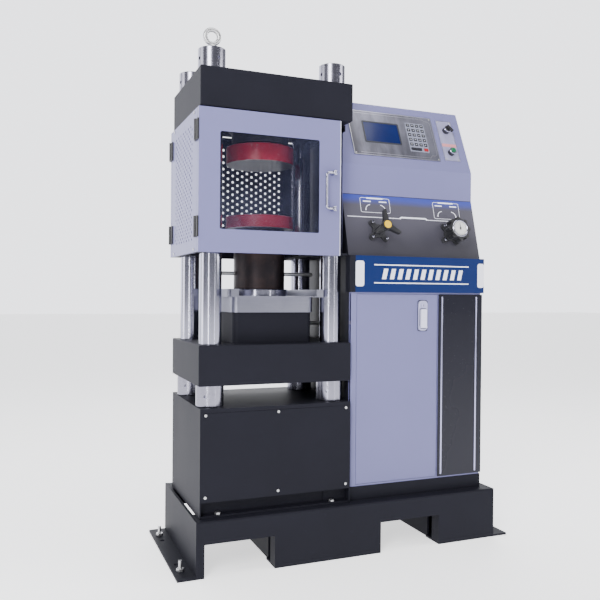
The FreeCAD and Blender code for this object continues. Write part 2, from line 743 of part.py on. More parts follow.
def dust_tray():
    """A folded stainless tray with corner tabs, and the skirt that covers the block's top."""
    x0, x1 = frame_x - TRAY_W / 2, frame_x + TRAY_W / 2
    y0, y1 = FRAME_Y - CROSSHEAD_D / 2, FRAME_Y + CROSSHEAD_D / 2
    top = tray_z + TRAY_T + TRAY_WALL_H
    wall = SKIRT_T
    floor = box(x0, x1, y0, y1, tray_z, tray_z + TRAY_T)
    walls = [box(x0, x0 + wall, y0, y1, tray_z, top), box(x1 - wall, x1, y0, y1, tray_z, top),
             box(x0, x1, y1 - wall, y1, tray_z, top),
             box(x0, x0 + TRAY_TAB_W, y0, y0 + wall, tray_z, top),
             box(x1 - TRAY_TAB_W, x1, y0, y0 + wall, tray_z, top)]
    half = SKIRT_W / 2
    corner = BLOCK_CORNER_R + (SKIRT_W - BLOCK_SIZE) / 2
    right = frame_x + half + BLOCK_PORT_SIDE
    skirt = box(frame_x - half, right, FRAME_Y - half, FRAME_Y + half, tray_z - SKIRT_H, tray_z)
    skirt = soften(skirt, corner, lambda e: is_along(e, Z_AXIS))
    inside = box(frame_x - half + wall, right - wall, FRAME_Y - half + wall, FRAME_Y + half - wall,
                 tray_z - SKIRT_H - 1, tray_z + 1)
    skirt = cut(skirt, soften(inside, corner - wall, lambda e: is_along(e, Z_AXIS)))
    tray = fuse(floor, skirt, *walls)
    return cut(tray, rod(PISTON_R + 1, TRAY_T + 2, Vector(frame_x, FRAME_Y, tray_z - 1)))


def spacer_block():
    z0, z1, e = piston_top, spacer_top, PLATEN_EDGE
    profile = [(0, z0 - SPIGOT_H + GAP), (SPIGOT_R - FIT, z0 - SPIGOT_H + GAP), (SPIGOT_R - FIT, z0),
               (SPACER_R - e, z0), (SPACER_R, z0 + e), (SPACER_R, z1 - e), (SPACER_R - e, z1),
               (SPIGOT_R, z1), (SPIGOT_R, z1 - SPIGOT_H), (0, z1 - SPIGOT_H)]
    sockets = [rod(LIFT_BAR_R + FIT, LIFT_BAR_SEAT + 1 + GAP,
                   Vector(frame_x + side * (SPACER_R - LIFT_BAR_SEAT - GAP), FRAME_Y, piston_top + LIFT_BAR_UP),
                   X_AXIS * side) for side in (-1, 1)]
    return cut(turned(profile, frame_x, FRAME_Y), *sockets)


def lower_platen():
    z0, z1, e = spacer_top, lower_face_z, PLATEN_EDGE
    profile = [(0, z0 - SPIGOT_H + GAP), (SPIGOT_R - FIT, z0 - SPIGOT_H + GAP), (SPIGOT_R - FIT, z0),
               (PLATEN_R - e, z0), (PLATEN_R, z0 + e), (PLATEN_R, z1 - e), (PLATEN_R - e, z1), (0, z1)]
    return turned(profile, frame_x, FRAME_Y)


def ball_profile_z(radius, ball):
    return upper_face_z + math.sqrt(ball * ball - radius * radius)


def upper_platen():
    """A thick disc whose back is a ball about the centre of its own working face."""
    e = PLATEN_EDGE
    back = upper_face_z + UPPER_PLATEN_T
    foot = back + NECK_H
    top = upper_face_z + BALL_R - BALL_FLAT
    disc = turned([(0, upper_face_z), (PLATEN_R - e, upper_face_z), (PLATEN_R, upper_face_z + e),
                   (PLATEN_R, back - e), (PLATEN_R - e, back), (NECK_R, back), (NECK_R, foot + 2),
                   (0, foot + 2)], frame_x, FRAME_Y)
    ball = Part.makeSphere(BALL_R, Vector(frame_x, FRAME_Y, upper_face_z))
    zone = rod(BALL_R, top - foot, Vector(frame_x, FRAME_Y, foot))
    return fuse(disc, ball.common(zone))


def ball_seat():
    """The fixed cup under the upper crosshead that the ball turns in."""
    z0 = upper_face_z + UPPER_PLATEN_T + NECK_H
    flange_z = upper_crosshead_z - SEAT_FLANGE_H
    body = turned([(0, z0), (SEAT_R, z0), (SEAT_R, flange_z), (SEAT_FLANGE_R, flange_z),
                   (SEAT_FLANGE_R, upper_crosshead_z), (0, upper_crosshead_z)], frame_x, FRAME_Y)
    cup = Part.makeSphere(BALL_R + GAP, Vector(frame_x, FRAME_Y, upper_face_z))
    return cut(body, cup)


def retaining_ring():
    """The ring that keeps the ball in its cup, with countersunk screws."""
    z1 = upper_face_z + UPPER_PLATEN_T + NECK_H
    z0 = z1 - RING_T - RING_T
    ring = turned([(RING_BORE_R, z0), (SEAT_R, z0), (SEAT_R, z1), (SEAT_R - RING_LIP, z1),
                   (SEAT_R - RING_LIP, z0 + RING_T), (RING_BORE_R, z0 + RING_T)], frame_x, FRAME_Y)
    screws = []
    r = SEAT_R - RING_LIP / 2
    for i in range(RING_SCREWS):
        a = math.radians(360 / RING_SCREWS * (i + 0.5))
        place = Vector(frame_x + r * math.cos(a), FRAME_Y + r * math.sin(a), z0)
        shank = rod(1.5, RING_T, place + Vector(0, 0, 3))
        screws.append(fuse(Part.makeCone(3.5, 1.5, 3, place), shank))
    return [cut(ring, *screws)] + screws


def spacer_handles():
    """Two round bars in the spacer's sides, by which it is lifted off the piston."""
    bars = []
    for side in (-1, 1):
        start = Vector(frame_x + side * (SPACER_R - LIFT_BAR_SEAT), FRAME_Y, piston_top + LIFT_BAR_UP)
        bar = rod(LIFT_BAR_R, LIFT_BAR_SEAT + LIFT_BAR_REACH, start, X_AXIS * side)
        tip = frame_x + side * (SPACER_R + LIFT_BAR_REACH)
        bars.append(soften(bar, LIFT_BAR_ROUND, lambda e: len(e.Vertexes) == 1
                           and abs(e.CenterOfMass.x - tip) < 0.1))
    return bars


# Guard round the test space

def perforated_sheet(origin, u, v, width, height, normal):
    """A sheet with staggered holes in its middle, spanned by the vectors u and v."""
    corners = [origin, origin + u * width, origin + u * width + v * height, origin + v * height]
    wires = [Part.makePolygon(corners + [corners[0]])]
    columns_of_holes = int(PERF_WIDTH / PERF_COLUMN_STEP) + 1
    rows = int(PERF_HEIGHT / PERF_PITCH)
    centre = origin + u * (width / 2) + v * (height / 2)
    for i in range(columns_of_holes):
        du = (i - (columns_of_holes - 1) / 2) * PERF_COLUMN_STEP
        shift = PERF_PITCH / 2 if i % 2 else 0
        for j in range(rows):
            dv = (j - (rows - 1) / 2) * PERF_PITCH - PERF_PITCH / 4 + shift
            middle = centre + u * du + v * dv
            ring = []
            for k in range(PERF_SIDES + 1):
                a = math.radians(360 / PERF_SIDES * k)
                ring.append(middle + u * (PERF_R * math.cos(a)) + v * (PERF_R * math.sin(a)))
            wires.append(Part.makePolygon(ring))
    return Part.makeFace(wires, "Part::FaceMakerBullseye").extrude(normal * GUARD_SHEET)


def guard_left_panel():
    """The perforated side sheet, folded in at all four edges."""
    x0, sheet = guard_x0, GUARD_SHEET
    face = perforated_sheet(Vector(x0, side_y0, guard_z0), Y_AXIS, Z_AXIS,
                            side_y1 - side_y0, guard_z1 - guard_z0, X_AXIS)
    rim = box(x0 + sheet, x0 + PANEL_FLANGE, side_y0, side_y1, guard_z0, guard_z1)
    rim = cut(rim, box(x0, x0 + PANEL_FLANGE + 1, side_y0 + sheet, side_y1 - sheet,
                       guard_z0 + sheet, guard_z1 - sheet))
    return cut(fuse(face, rim), *[rod(PANEL_SCREW_R, PANEL_SCREW_L, place, X_AXIS)
                                  for place in guard_screw_places()])


def guard_right_panel():
    """The plain sheet beside the cabinet, folded inwards at its top and bottom."""
    x1, sheet = right_panel_x, GUARD_SHEET
    y0, y1 = FRAME_Y - COLUMN_DY, side_y1
    face = box(x1 - sheet, x1, y0, y1, guard_z0, guard_z1)
    folds = [box(x1 - RIGHT_FOLD, x1, y0, y1, z, z + sheet) for z in (guard_z0, guard_z1 - sheet)]
    return fuse(face, *folds)


def guard_screw_places():
    return [Vector(guard_x0, FRAME_Y + sy * GUARD_SCREW_DY, z)
            for z in (guard_z0 + GUARD_SCREW_EDGE, guard_z1 - GUARD_SCREW_EDGE) for sy in (-1, 1)]


def guard_brackets():
    """Clamp plates round the columns below, and angles under the crosshead above."""
    half = COLUMN_DY + COLUMN_R + BRACKET_RIM
    inner_left = frame_x - COLUMN_DX + COLUMN_R + BRACKET_RIM
    inner_right = frame_x + COLUMN_DX - COLUMN_R - BRACKET_RIM
    left_x, right_x = guard_x0 + GUARD_SHEET, right_panel_x - GUARD_SHEET
    z0 = guard_z0 + GUARD_SHEET + BRACKET_STAND
    drill = [rod(COLUMN_R + FIT, 3 * BRACKET_LEG, Vector(x, y, z0 - 1)) for x, y in column_places]
    pieces = []
    for x0, x1, tab in ((left_x, inner_left, (left_x, left_x + 4)), (inner_right, right_x, None)):
        plate = box(x0, x1, FRAME_Y - half, FRAME_Y + half, z0, z0 + BRACKET_T)
        window = box(max(x0, inner_right + BRACKET_RIM) if tab is None else x0 + BRACKET_LEG,
                     x1 - BRACKET_RIM if tab else x1 - BRACKET_LEG,
                     FRAME_Y - COLUMN_DY + COLUMN_R + BRACKET_RIM,
                     FRAME_Y + COLUMN_DY - COLUMN_R - BRACKET_RIM, z0 - 1, z0 + BRACKET_T + 1)
        plate = cut(plate, window)
        if tab:
            plate = fuse(plate, box(tab[0], tab[1], side_y0 + GUARD_SHEET, side_y1 - GUARD_SHEET,
                                    z0, z0 + BRACKET_LEG))
        else:
            catch_x1 = guard_x0 + DOOR_W - 2 * GUARD_SHEET - 8
            arm = box(catch_x1 - CATCH_W, catch_x1, guard_y0 + GUARD_SHEET + GAP,
                      FRAME_Y - half + 1, z0, z0 + BRACKET_T)
            head = box(catch_x1 - CATCH_W, catch_x1, guard_y0 + GUARD_SHEET + GAP,
                       guard_y0 + GUARD_SHEET + 12, z0, z0 + BRACKET_T + CATCH_H)
            plate = fuse(plate, arm, head)
        pieces.append(cut(plate, *drill))
    z1 = upper_crosshead_z
    right_post = right_panel_x - RIGHT_FOLD - POST_T - 1
    for x0, x1, wall, post in ((left_x, left_x + BRACKET_LEG, left_x, guard_x0 + PANEL_FLANGE + GAP),
                               (right_post, right_x, right_x - ANGLE_T, right_post)):
        top = guard_z1 - GUARD_SHEET
        y0, y1 = side_y0 + ANGLE_INSET, side_y1 - ANGLE_T
        angle = fuse(box(x0, x1, y0, y1, top - ANGLE_T, top),
                     box(wall, wall + ANGLE_T, y0, y1, top - BRACKET_LEG, top))
        posts = [box(post, post + POST_T, y - POST_W / 2, y + POST_W / 2, top, z1)
                 for y in (FRAME_Y - POST_DY, FRAME_Y + POST_DY)]
        notches = [rod(COLUMN_R + BRACKET_STAND, 2 * BRACKET_LEG, Vector(x, y, top - BRACKET_LEG))
                   for x, y in column_places]
        pieces.append(cut(fuse(angle, *posts), *notches))
    screws = [rod(PANEL_SCREW_R, PANEL_SCREW_L, place, X_AXIS) for place in guard_screw_places()]
    return [cut(piece, *screws) for piece in pieces]


def door_pan(y_face, inward):
    """A door sheet folded back at all four edges. inward is +1 at the front, -1 at the back."""
    sheet, x0, x1 = GUARD_SHEET, guard_x0, guard_x0 + DOOR_W
    y = sorted((y_face, y_face + inward * DOOR_RETURN))
    pan = box(x0, x1, y[0], y[1], guard_z0, guard_z1)
    hollow = sorted((y_face + inward * sheet, y_face + inward * (DOOR_RETURN + 1)))
    return cut(pan, box(x0 + sheet, x1 - sheet, hollow[0], hollow[1],
                        guard_z0 + sheet, guard_z1 - sheet))


def front_door_frame():
    pan = door_pan(guard_y0, 1)
    hole = box(window_x0, window_x0 + window_w, guard_y0 - 1, guard_y0 + GUARD_SHEET + 1,
               window_z0, window_z0 + window_h)
    hole = soften(hole, 6.0, lambda e: is_along(e, Y_AXIS))
    return cut(pan, hole)


def front_door_window():
    y0 = guard_y0 + GUARD_SHEET
    return box(window_x0 - PANE_LAP, window_x0 + window_w + PANE_LAP, y0, y0 + PANE_T,
               window_z0 - PANE_LAP, window_z0 + window_h + PANE_LAP)


def rear_door():
    return door_pan(guard_y1, -1)


def hinge_halves(z, seam_y, away):
    """Both leaves of one block hinge. away is the direction from the seam to the door."""
    third = HINGE_H / 3
    z0 = z - HINGE_H / 2
    fixed, moving = [], []
    for side, sign in ((fixed, -away), (moving, away)):
        y = sorted((seam_y + sign * (HINGE_KNUCKLE_R + 0.4), seam_y + sign * HINGE_LEAF))
        side.append(box(guard_x0 - HINGE_LEAF_T, guard_x0, y[0], y[1], z0, z0 + HINGE_H))
    for i in range(3):
        owner, sign = (fixed, -away) if i == 1 else (moving, away)
        low = z0 + i * third + (GAP / 2 if i else 0)
        height = third - (GAP if i == 1 else GAP / 2)
        knuckle = rod(HINGE_KNUCKLE_R, height, Vector(hinge_x, seam_y, low))
        y = sorted((seam_y, seam_y + sign * (HINGE_KNUCKLE_R + 1)))
        web = box(guard_x0 - HINGE_LEAF_T, guard_x0 - GAP, y[0], y[1], low, low + height)
        owner.extend([knuckle, web])
    fixed_leaf = fuse(fixed[0], *fixed[1:])
    moving_leaf = fuse(moving[0], *moving[1:])
    pin = rod(HINGE_PIN_R, HINGE_H, Vector(hinge_x, seam_y, z0))
    fixed_leaf = fuse(fixed_leaf, pin)
    moving_leaf = cut(moving_leaf, rod(HINGE_PIN_R + FIT, HINGE_H + 2, Vector(hinge_x, seam_y, z0 - 1)))
    return fixed_leaf, moving_leaf


def handle_mounts():
    """Round posts on the door, slotted for the bail's eyes, each with its vertical pin."""
    posts = []
    y_tip = guard_y0 - HANDLE_POST_L
    eye_y = guard_y0 - HANDLE_POST_L + HANDLE_EYE_R + 1
    for sz in (-1, 1):
        z = handle_z + sz * HANDLE_PITCH / 2
        post = rod(HANDLE_POST_R, HANDLE_POST_L, Vector(handle_x, guard_y0, z), Vector(0, -1, 0))
        slot_h = HANDLE_EYE_H + 2 * GAP
        slot = box(handle_x - HANDLE_POST_R - 1, handle_x + HANDLE_POST_R + 1, y_tip - 1,
                   eye_y + HANDLE_EYE_R + GAP, z - slot_h / 2, z + slot_h / 2)
        pin = rod(HANDLE_PIN_R, 2 * HANDLE_POST_R - 4, Vector(handle_x, eye_y, z - HANDLE_POST_R + 2))
        posts.append(fuse(cut(post, slot), pin))
    return posts


def handle_bail():
    """The round bar of the handle, folded to the left against the door."""
    eye_y = guard_y0 - HANDLE_POST_L + HANDLE_EYE_R + 1
    x1 = handle_x - HANDLE_REACH
    z0, z1 = handle_z - HANDLE_PITCH / 2, handle_z + HANDLE_PITCH / 2
    c = HANDLE_CORNER_R
    k = c * (1 - math.sqrt(0.5))

    def at(x, z):
        return Vector(x, eye_y, z)

    start = handle_x - HANDLE_EYE_R + 1
    path = Part.Wire([
        Part.LineSegment(at(start, z1), at(x1 + c, z1)).toShape(),
        Part.Arc(at(x1 + c, z1), at(x1 + k, z1 - k), at(x1, z1 - c)).toShape(),
        Part.LineSegment(at(x1, z1 - c), at(x1, z0 + c)).toShape(),
        Part.Arc(at(x1, z0 + c), at(x1 + k, z0 + k), at(x1 + c, z0)).toShape(),
        Part.LineSegment(at(x1 + c, z0), at(start, z0)).toShape()])
    section = Part.Wire(Part.makeCircle(HANDLE_BAR_R, at(start, z1), X_AXIS))
    bar = path.makePipeShell([section], True, False)
    eyes = [rod(HANDLE_EYE_R, HANDLE_EYE_H, Vector(handle_x, eye_y, z - HANDLE_EYE_H / 2)) for z in (z0, z1)]
    bail = fuse(bar, *eyes)
    holes = [rod(HANDLE_PIN_R + FIT, HANDLE_EYE_H + 2, Vector(handle_x, eye_y, z - HANDLE_EYE_H / 2 - 1))
             for z in (z0, z1)]
    return cut(bail, *holes)


# Cabinet

def slope_frame(y0, z0, y1, z1):
    """Unit vector up a slope and its outward normal, both in the Y-Z plane."""
    up = Vector(0, y1 - y0, z1 - z0)
    up.normalize()
    return up, Vector(0, -up.z, up.y)


valve_up, valve_out = slope_frame(valve_panel_y0, band_z1, strip_y, strip_z0)
console_up, console_out = slope_frame(strip_y, strip_z1, roof_y, roof_z)


def valve_point(x, s, out=0.0):
    return Vector(x, valve_panel_y0, band_z1) + valve_up * s + valve_out * out


def console_point(x, s, out=0.0):
    return Vector(x, strip_y, strip_z1) + console_up * s + console_out * out


def slab(point, x0, s0, width, length, bottom, height):
    """A flat plate that lies on a slope, from a point function."""
    corners = [point(x0, s0, bottom), point(x0 + width, s0, bottom),
               point(x0 + width, s0 + length, bottom), point(x0, s0 + length, bottom)]
    direction = point(x0, s0, bottom + height) - corners[0]
    return prism([(c.x, c.y, c.z) for c in corners], direction)


def cabinet_outline(inset, x0, x1):
    """The cabinet's side profile, moved inwards, pushed from x0 to x1."""
    valve_inset = inset + VALVE_PANEL_T
    tilt = valve_out.z / -valve_out.y
    slope_cos = -valve_out.y
    console_cos = -console_out.y
    step_y = valve_panel_y0 + valve_inset / slope_cos
    z_step = band_z1 - inset
    valve_top_y = strip_y + inset
    valve_top_z = strip_z0 - (valve_inset / slope_cos - inset) / tilt
    console_tilt = console_out.z / -console_out.y
    strip_top_z = strip_z1 - (inset / console_cos - inset) / console_tilt
    top_z = roof_z - inset
    top_y = roof_y + inset / console_cos - inset * console_tilt
    outline = [(CABINET_FRONT + inset, cabinet_z0 + inset), (CABINET_FRONT + inset, z_step),
               (step_y - inset * tilt, z_step), (valve_top_y, valve_top_z), (valve_top_y, strip_top_z),
               (top_y, top_z), (CABINET_BACK - inset, top_z), (CABINET_BACK - inset, cabinet_z0 + inset)]
    return prism([(x0, y, z) for y, z in outline], Vector(x1 - x0, 0, 0))


def cabinet_plinth():
    x0, x1 = cabinet_x0 + PLINTH_INSET, cabinet_x1 - PLINTH_INSET
    y0, y1 = CABINET_FRONT - PLINTH_INSET, CABINET_BACK - PLINTH_INSET
    sheet = PLINTH_SHEET
    plinth = box(x0, x1, y0, y1, BASE_HEIGHT, cabinet_z0)
    return cut(plinth, box(x0 + sheet, x1 - sheet, y0 + sheet, y1 - sheet, BASE_HEIGHT - 1,
                           cabinet_z0 - sheet))


def cabinet_shell():
    """The folded cabinet body, open at the front for its door and drilled for the valves."""
    shell = cabinet_outline(0, cabinet_x0, cabinet_x1)
    shell = soften(shell, CABINET_EDGE_R, lambda e: is_along(e, Z_AXIS)
                   and abs(e.CenterOfMass.y - CABINET_FRONT) < 0.1)
    shell = cut(shell, cabinet_outline(CABINET_SHEET, cabinet_x0 + CABINET_SHEET, cabinet_x1 - CABINET_SHEET))
    doorway = box(cabinet_door_x0, cabinet_door_x1, CABINET_FRONT - 1, CABINET_FRONT + CABINET_SHEET + 1,
                  cabinet_door_z0, cabinet_door_z1)
    shell = cut(shell, doorway)
    lugs = []
    for z0, z1 in ((cabinet_door_z0 - CABINET_SHEET - 2, cabinet_door_z0 - GAP),
                   (cabinet_door_z1 + GAP, cabinet_door_z1 + 8)):
        lug = box(cabinet_x0 + CABINET_SHEET, pivot_x + 8, CABINET_FRONT + CABINET_SHEET, pivot_y + 8, z0, z1)
        lugs.append(lug)
    shell = fuse(shell, *lugs)
    pivots = [rod(CABINET_PIVOT_R + FIT, cabinet_door_z1 + 6 - cabinet_door_z0 + 6,
                  Vector(pivot_x, pivot_y, cabinet_door_z0 - 6))]
    spindles = [rod(SPINDLE_R + 1, 20, valve_point(x, VALVE_S, -15), valve_out)
                for x in (left_valve_x, right_valve_x)]
    stems = [rod(STEM_R + GAP, 20, console_point(switch_x, s, -15), console_out)
             for s in (selector_s, button_s)]
    pipe = rod(PIPE_R + GAP, 10, Vector(cabinet_x0 - 2, pipe_y, port_z), X_AXIS)
    return cut(shell, pipe, *pivots, *spindles, *stems)


def cabinet_door():
    """An inset door, folded back at its edges, that turns on two corner pivots."""
    sheet, depth = CABINET_SHEET, CABINET_DOOR_RETURN
    x0, x1 = cabinet_door_x0 + SEAM, cabinet_door_x1 - SEAM
    z0, z1 = cabinet_door_z0 + SEAM, cabinet_door_z1 - SEAM
    y0 = CABINET_FRONT
    door = box(x0, x1, y0, y0 + depth, z0, z1)
    door = soften(door, 1.2, lambda e: is_along(e, Z_AXIS) and e.CenterOfMass.y < y0 + 1)
    door = cut(door, box(x0 + sheet, x1 - sheet, y0 + sheet, y0 + depth + 1, z0 + sheet, z1 - sheet))
    blocks = [box(x0, x0 + 12, y0 + sheet, y0 + 12, z, z + 10) for z in (z0, z1 - 10)]
    pivots = [rod(CABINET_PIVOT_R, CABINET_PIVOT_L, Vector(pivot_x, pivot_y, z0 - SEAM - 4)),
              rod(CABINET_PIVOT_R, CABINET_PIVOT_L, Vector(pivot_x, pivot_y, z1 - 2))]
    return fuse(door, *blocks, *pivots)


def dark_panel():
    """The dark glossy panel beside the door, with two slim upright mouldings."""
    y0 = CABINET_FRONT - DARK_PANEL_T
    panel = box(dark_panel_x0, cabinet_x1, y0, CABINET_FRONT, cabinet_door_z0, cabinet_door_z1)
    mouldings = [box(x, x + MOULDING_W, y0 - MOULDING_PROUD, y0 + 1,
                     cabinet_door_z0 + MOULDING_END, cabinet_door_z1 - MOULDING_END)
                 for x in (dark_panel_x0 + MOULDING_LEFT, cabinet_x1 - MOULDING_RIGHT)]
    return fuse(panel, *mouldings)


lock_face_y = CABINET_FRONT - LOCK_T
lock_hub_y = lock_face_y - GAP - LOCK_HUB_R
lock_hub_z = lock_z0 + LOCK_HUB_UP
lever_x0 = lock_x - LOCK_LEVER_W / 2
lever_x1 = lock_x + LOCK_LEVER_W / 2


def lock_body():
    """The escutcheon of the swing lock, with its key barrel and the two ears of the lever."""
    x0, x1 = lock_x - LOCK_W / 2, lock_x + LOCK_W / 2
    body = box(x0, x1, lock_face_y, CABINET_FRONT, lock_z0, lock_z0 + LOCK_H)
    body = soften(body, LOCK_W / 2 - 5, lambda e: is_along(e, Y_AXIS))
    barrel = rod(KEY_BARREL_R, KEY_BARREL_H, Vector(lock_x, lock_face_y, lock_z0 + LOCK_H - 18),
                 Vector(0, -1, 0))
    ears = [box(x, x + LOCK_EAR_T, lock_hub_y - LOCK_HUB_R, lock_face_y,
                lock_hub_z - LOCK_HUB_R - 1, lock_hub_z + LOCK_HUB_R + 1)
            for x in (lever_x0 - GAP - LOCK_EAR_T, lever_x1 + GAP)]
    pin = rod(LOCK_PIN_R, LOCK_LEVER_W + 2, Vector(lever_x0 - 1, lock_hub_y, lock_hub_z), X_AXIS)
    return fuse(body, barrel, pin, *ears)


def lock_handle():
    """The lever of the lock: it folds out from the door about its lower end."""
    back = lock_face_y - GAP
    lever = box(lever_x0, lever_x1, back - LOCK_LEVER_T, back,
                lock_hub_z - LOCK_LEVER_TIP, lock_hub_z + LOCK_LEVER_L)
    lever = soften(lever, 6.0, lambda e: is_along(e, Y_AXIS) and e.CenterOfMass.z > lock_hub_z + 9)
    heel = box(lever_x0 - 1, lever_x1 + 1, lock_hub_y, back + 1,
               lock_hub_z - LOCK_LEVER_TIP - 1, lock_hub_z)
    hub = rod(LOCK_HUB_R, LOCK_LEVER_W, Vector(lever_x0, lock_hub_y, lock_hub_z), X_AXIS)
    bore = rod(LOCK_PIN_R + FIT, LOCK_LEVER_W + 4, Vector(lever_x0 - 2, lock_hub_y, lock_hub_z), X_AXIS)
    return cut(fuse(cut(lever, heel), hub), bore)


def band_box():
    """The shallow box of the coloured band, lapped round the cabinet's front edges."""
    x0, x1 = cabinet_x0 - BAND_SIDE, cabinet_x1 + BAND_SIDE
    y0 = CABINET_FRONT - BAND_PROUD
    band = box(x0, x1, y0, CABINET_FRONT + BAND_LAP, band_z0, band_z1)
    inner = box(cabinet_x0 - GAP, cabinet_x1 + GAP, CABINET_FRONT - GAP, CABINET_FRONT + BAND_LAP + 1,
                band_z0 - 1, band_z1 + 1)
    hollow = box(x0 + BAND_SHEET, x1 - BAND_SHEET, y0 + BAND_SHEET, CABINET_FRONT,
                 band_z0 + BAND_SHEET, band_z1 - BAND_SHEET)
    return cut(band, inner, hollow)


def valve_panel():
    length = math.hypot(strip_y - valve_panel_y0, strip_z0 - band_z1)
    panel = slab(valve_point, cabinet_x0, 0, CABINET_W, length, -VALVE_PANEL_T, VALVE_PANEL_T)
    holes = [rod(SPINDLE_R + 1, 20, valve_point(x, VALVE_S, -10), valve_out)
             for x in (left_valve_x, right_valve_x)]
    panel = panel.common(box(cabinet_x0, cabinet_x1, valve_panel_y0, strip_y, band_z1, strip_z0))
    return cut(panel, *holes)


def console_plates():
    """The display plate and the smaller switch plate on the upper slope."""
    display = slab(console_point, display_x0, DISPLAY_S0, DISPLAY_W, DISPLAY_S, 0, PLATE_T)
    screen = slab(console_point, screen_x0, screen_s0, SCREEN_W, SCREEN_S, PLATE_T - SCREEN_T, SCREEN_T + 1)
    display = cut(display, screen)
    plate = slab(console_point, switch_x0, SWITCH_S0, SWITCH_W, SWITCH_S, 0, PLATE_T)
    holes = [rod(STEM_R + GAP, 20, console_point(switch_x, s, -10), console_out)
             for s in (selector_s, button_s)]
    return [display, cut(plate, *holes)]


def lcd_display():
    return slab(console_point, screen_x0 + GAP, screen_s0 + GAP, SCREEN_W - 2 * GAP, SCREEN_S - 2 * GAP,
                PLATE_T - SCREEN_T, SCREEN_T)


def keypad():
    """A membrane keypad: raised key tops over one thin sheet."""
    sheet = slab(console_point, keypad_x0, keypad_s0, KEYPAD_W, KEYPAD_S, PLATE_T, KEYPAD_T)
    step_x = (KEYPAD_W - 2 * KEY_MARGIN - KEY_W) / (KEY_COLUMNS - 1)
    step_s = (KEYPAD_S - 2 * KEY_MARGIN - KEY_H) / KEY_ROWS
    bottom, rise = PLATE_T + KEYPAD_T / 2, KEY_RISE + KEYPAD_T / 2
    keys = []
    for column in range(KEY_COLUMNS):
        for row in range(KEY_ROWS):
            x = keypad_x0 + KEY_MARGIN + column * step_x
            s = keypad_s0 + KEY_MARGIN + (row + 1) * step_s
            keys.append(slab(console_point, x, s, KEY_W, KEY_H, bottom, rise))
    wide = 2 * step_x + KEY_W - 8
    keys.append(slab(console_point, keypad_x0 + KEY_MARGIN, keypad_s0 + KEY_MARGIN, wide, KEY_H,
                     bottom, rise))
    keys.append(slab(console_point, keypad_x0 + KEY_MARGIN + 3 * step_x - 4, keypad_s0 + KEY_MARGIN,
                     KEY_W + 4, KEY_H, bottom, rise))
    return fuse(sheet, *keys)


switch_seat = PLATE_T + BEZEL_H - BEZEL_SEAT


def switch_bezels():
    """The two round barrels on the switch plate, open at the top for the moving parts."""
    pieces = []
    for s, inner in ((selector_s, SELECTOR_R), (button_s, BUTTON_R)):
        barrel = rod(BEZEL_R, BEZEL_H, console_point(switch_x, s, PLATE_T), console_out)
        recess = rod(inner + FIT, BEZEL_H, console_point(switch_x, s, switch_seat), console_out)
        bore = rod(STEM_R + FIT, BEZEL_H + 2, console_point(switch_x, s, PLATE_T - 1), console_out)
        pieces.append(cut(barrel, recess, bore))
    return pieces


def selector_lever():
    """The selector's turning disc with its long raised grip and stem."""
    place = console_point(switch_x, selector_s, switch_seat + FIT)
    disc = rod(SELECTOR_R, SELECTOR_H, place, console_out)
    a = math.radians(SELECTOR_REST_DEG)
    low = switch_seat + SELECTOR_H - 1

    def along(d, side):
        return console_point(switch_x + d * math.cos(a) - side * math.sin(a),
                             selector_s + d * math.sin(a) + side * math.cos(a), low)

    half = SELECTOR_GRIP_W / 2
    grip = prism([tuple(along(-SELECTOR_GRIP_BACK, -half)), tuple(along(SELECTOR_GRIP_REACH, -half)),
                  tuple(along(SELECTOR_GRIP_REACH, half)), tuple(along(-SELECTOR_GRIP_BACK, half))],
                 console_out * SELECTOR_GRIP_H)
    ends = [rod(half, SELECTOR_GRIP_H, along(d, 0), console_out)
            for d in (-SELECTOR_GRIP_BACK, SELECTOR_GRIP_REACH)]
    stem = rod(STEM_R, STEM_L, place - console_out * (STEM_L - 1), console_out)
    return fuse(disc, grip, *ends, stem)


def push_button():
    place = console_point(switch_x, button_s, switch_seat + BUTTON_TRAVEL + GAP)
    cap = rod(BUTTON_R, BUTTON_H, place, console_out)
    cap = cap.makeFillet(1.2, [e for e in cap.Edges if len(e.Vertexes) == 1
                               and (e.CenterOfMass - place).dot(console_out) > BUTTON_H / 2])
    stem = rod(STEM_R, STEM_L, place - console_out * (STEM_L - 1), console_out)
    return fuse(cap, stem)


# Hand valves

def valve_flange(x):
    """The valve's three-eared flange and bonnet, with its three bolts."""
    def at(out):
        return valve_point(x, VALVE_S, out)

    flange = rod(FLANGE_R, FLANGE_H, at(0), valve_out)
    bonnet = rod(BONNET_R, BONNET_H, at(FLANGE_H - 1), valve_out)
    bolts, ears = [], []
    for angle in (130, 220, 310):
        a = math.radians(angle)
        dx, ds = FLANGE_BOLT_PCR * math.cos(a), FLANGE_BOLT_PCR * math.sin(a)
        ear = rod(FLANGE_EAR_R, FLANGE_H, valve_point(x + dx, VALVE_S + ds), valve_out)
        px, ps = FLANGE_EAR_R * -math.sin(a), FLANGE_EAR_R * math.cos(a)
        arm = prism([tuple(valve_point(x + px, VALVE_S + ps)),
                     tuple(valve_point(x + dx + px, VALVE_S + ds + ps)),
                     tuple(valve_point(x + dx - px, VALVE_S + ds - ps)),
                     tuple(valve_point(x - px, VALVE_S - ps))], valve_out * FLANGE_H)
        ears.extend([ear, arm])
        bolts.append(rod(FLANGE_BOLT_R, FLANGE_BOLT_H, valve_point(x + dx, VALVE_S + ds, FLANGE_H),
                         valve_out))
    body = fuse(flange, bonnet, *ears)
    body = cut(body, rod(SPINDLE_R + FIT, HANDLE_STAND, at(-1), valve_out))
    return [body] + bolts


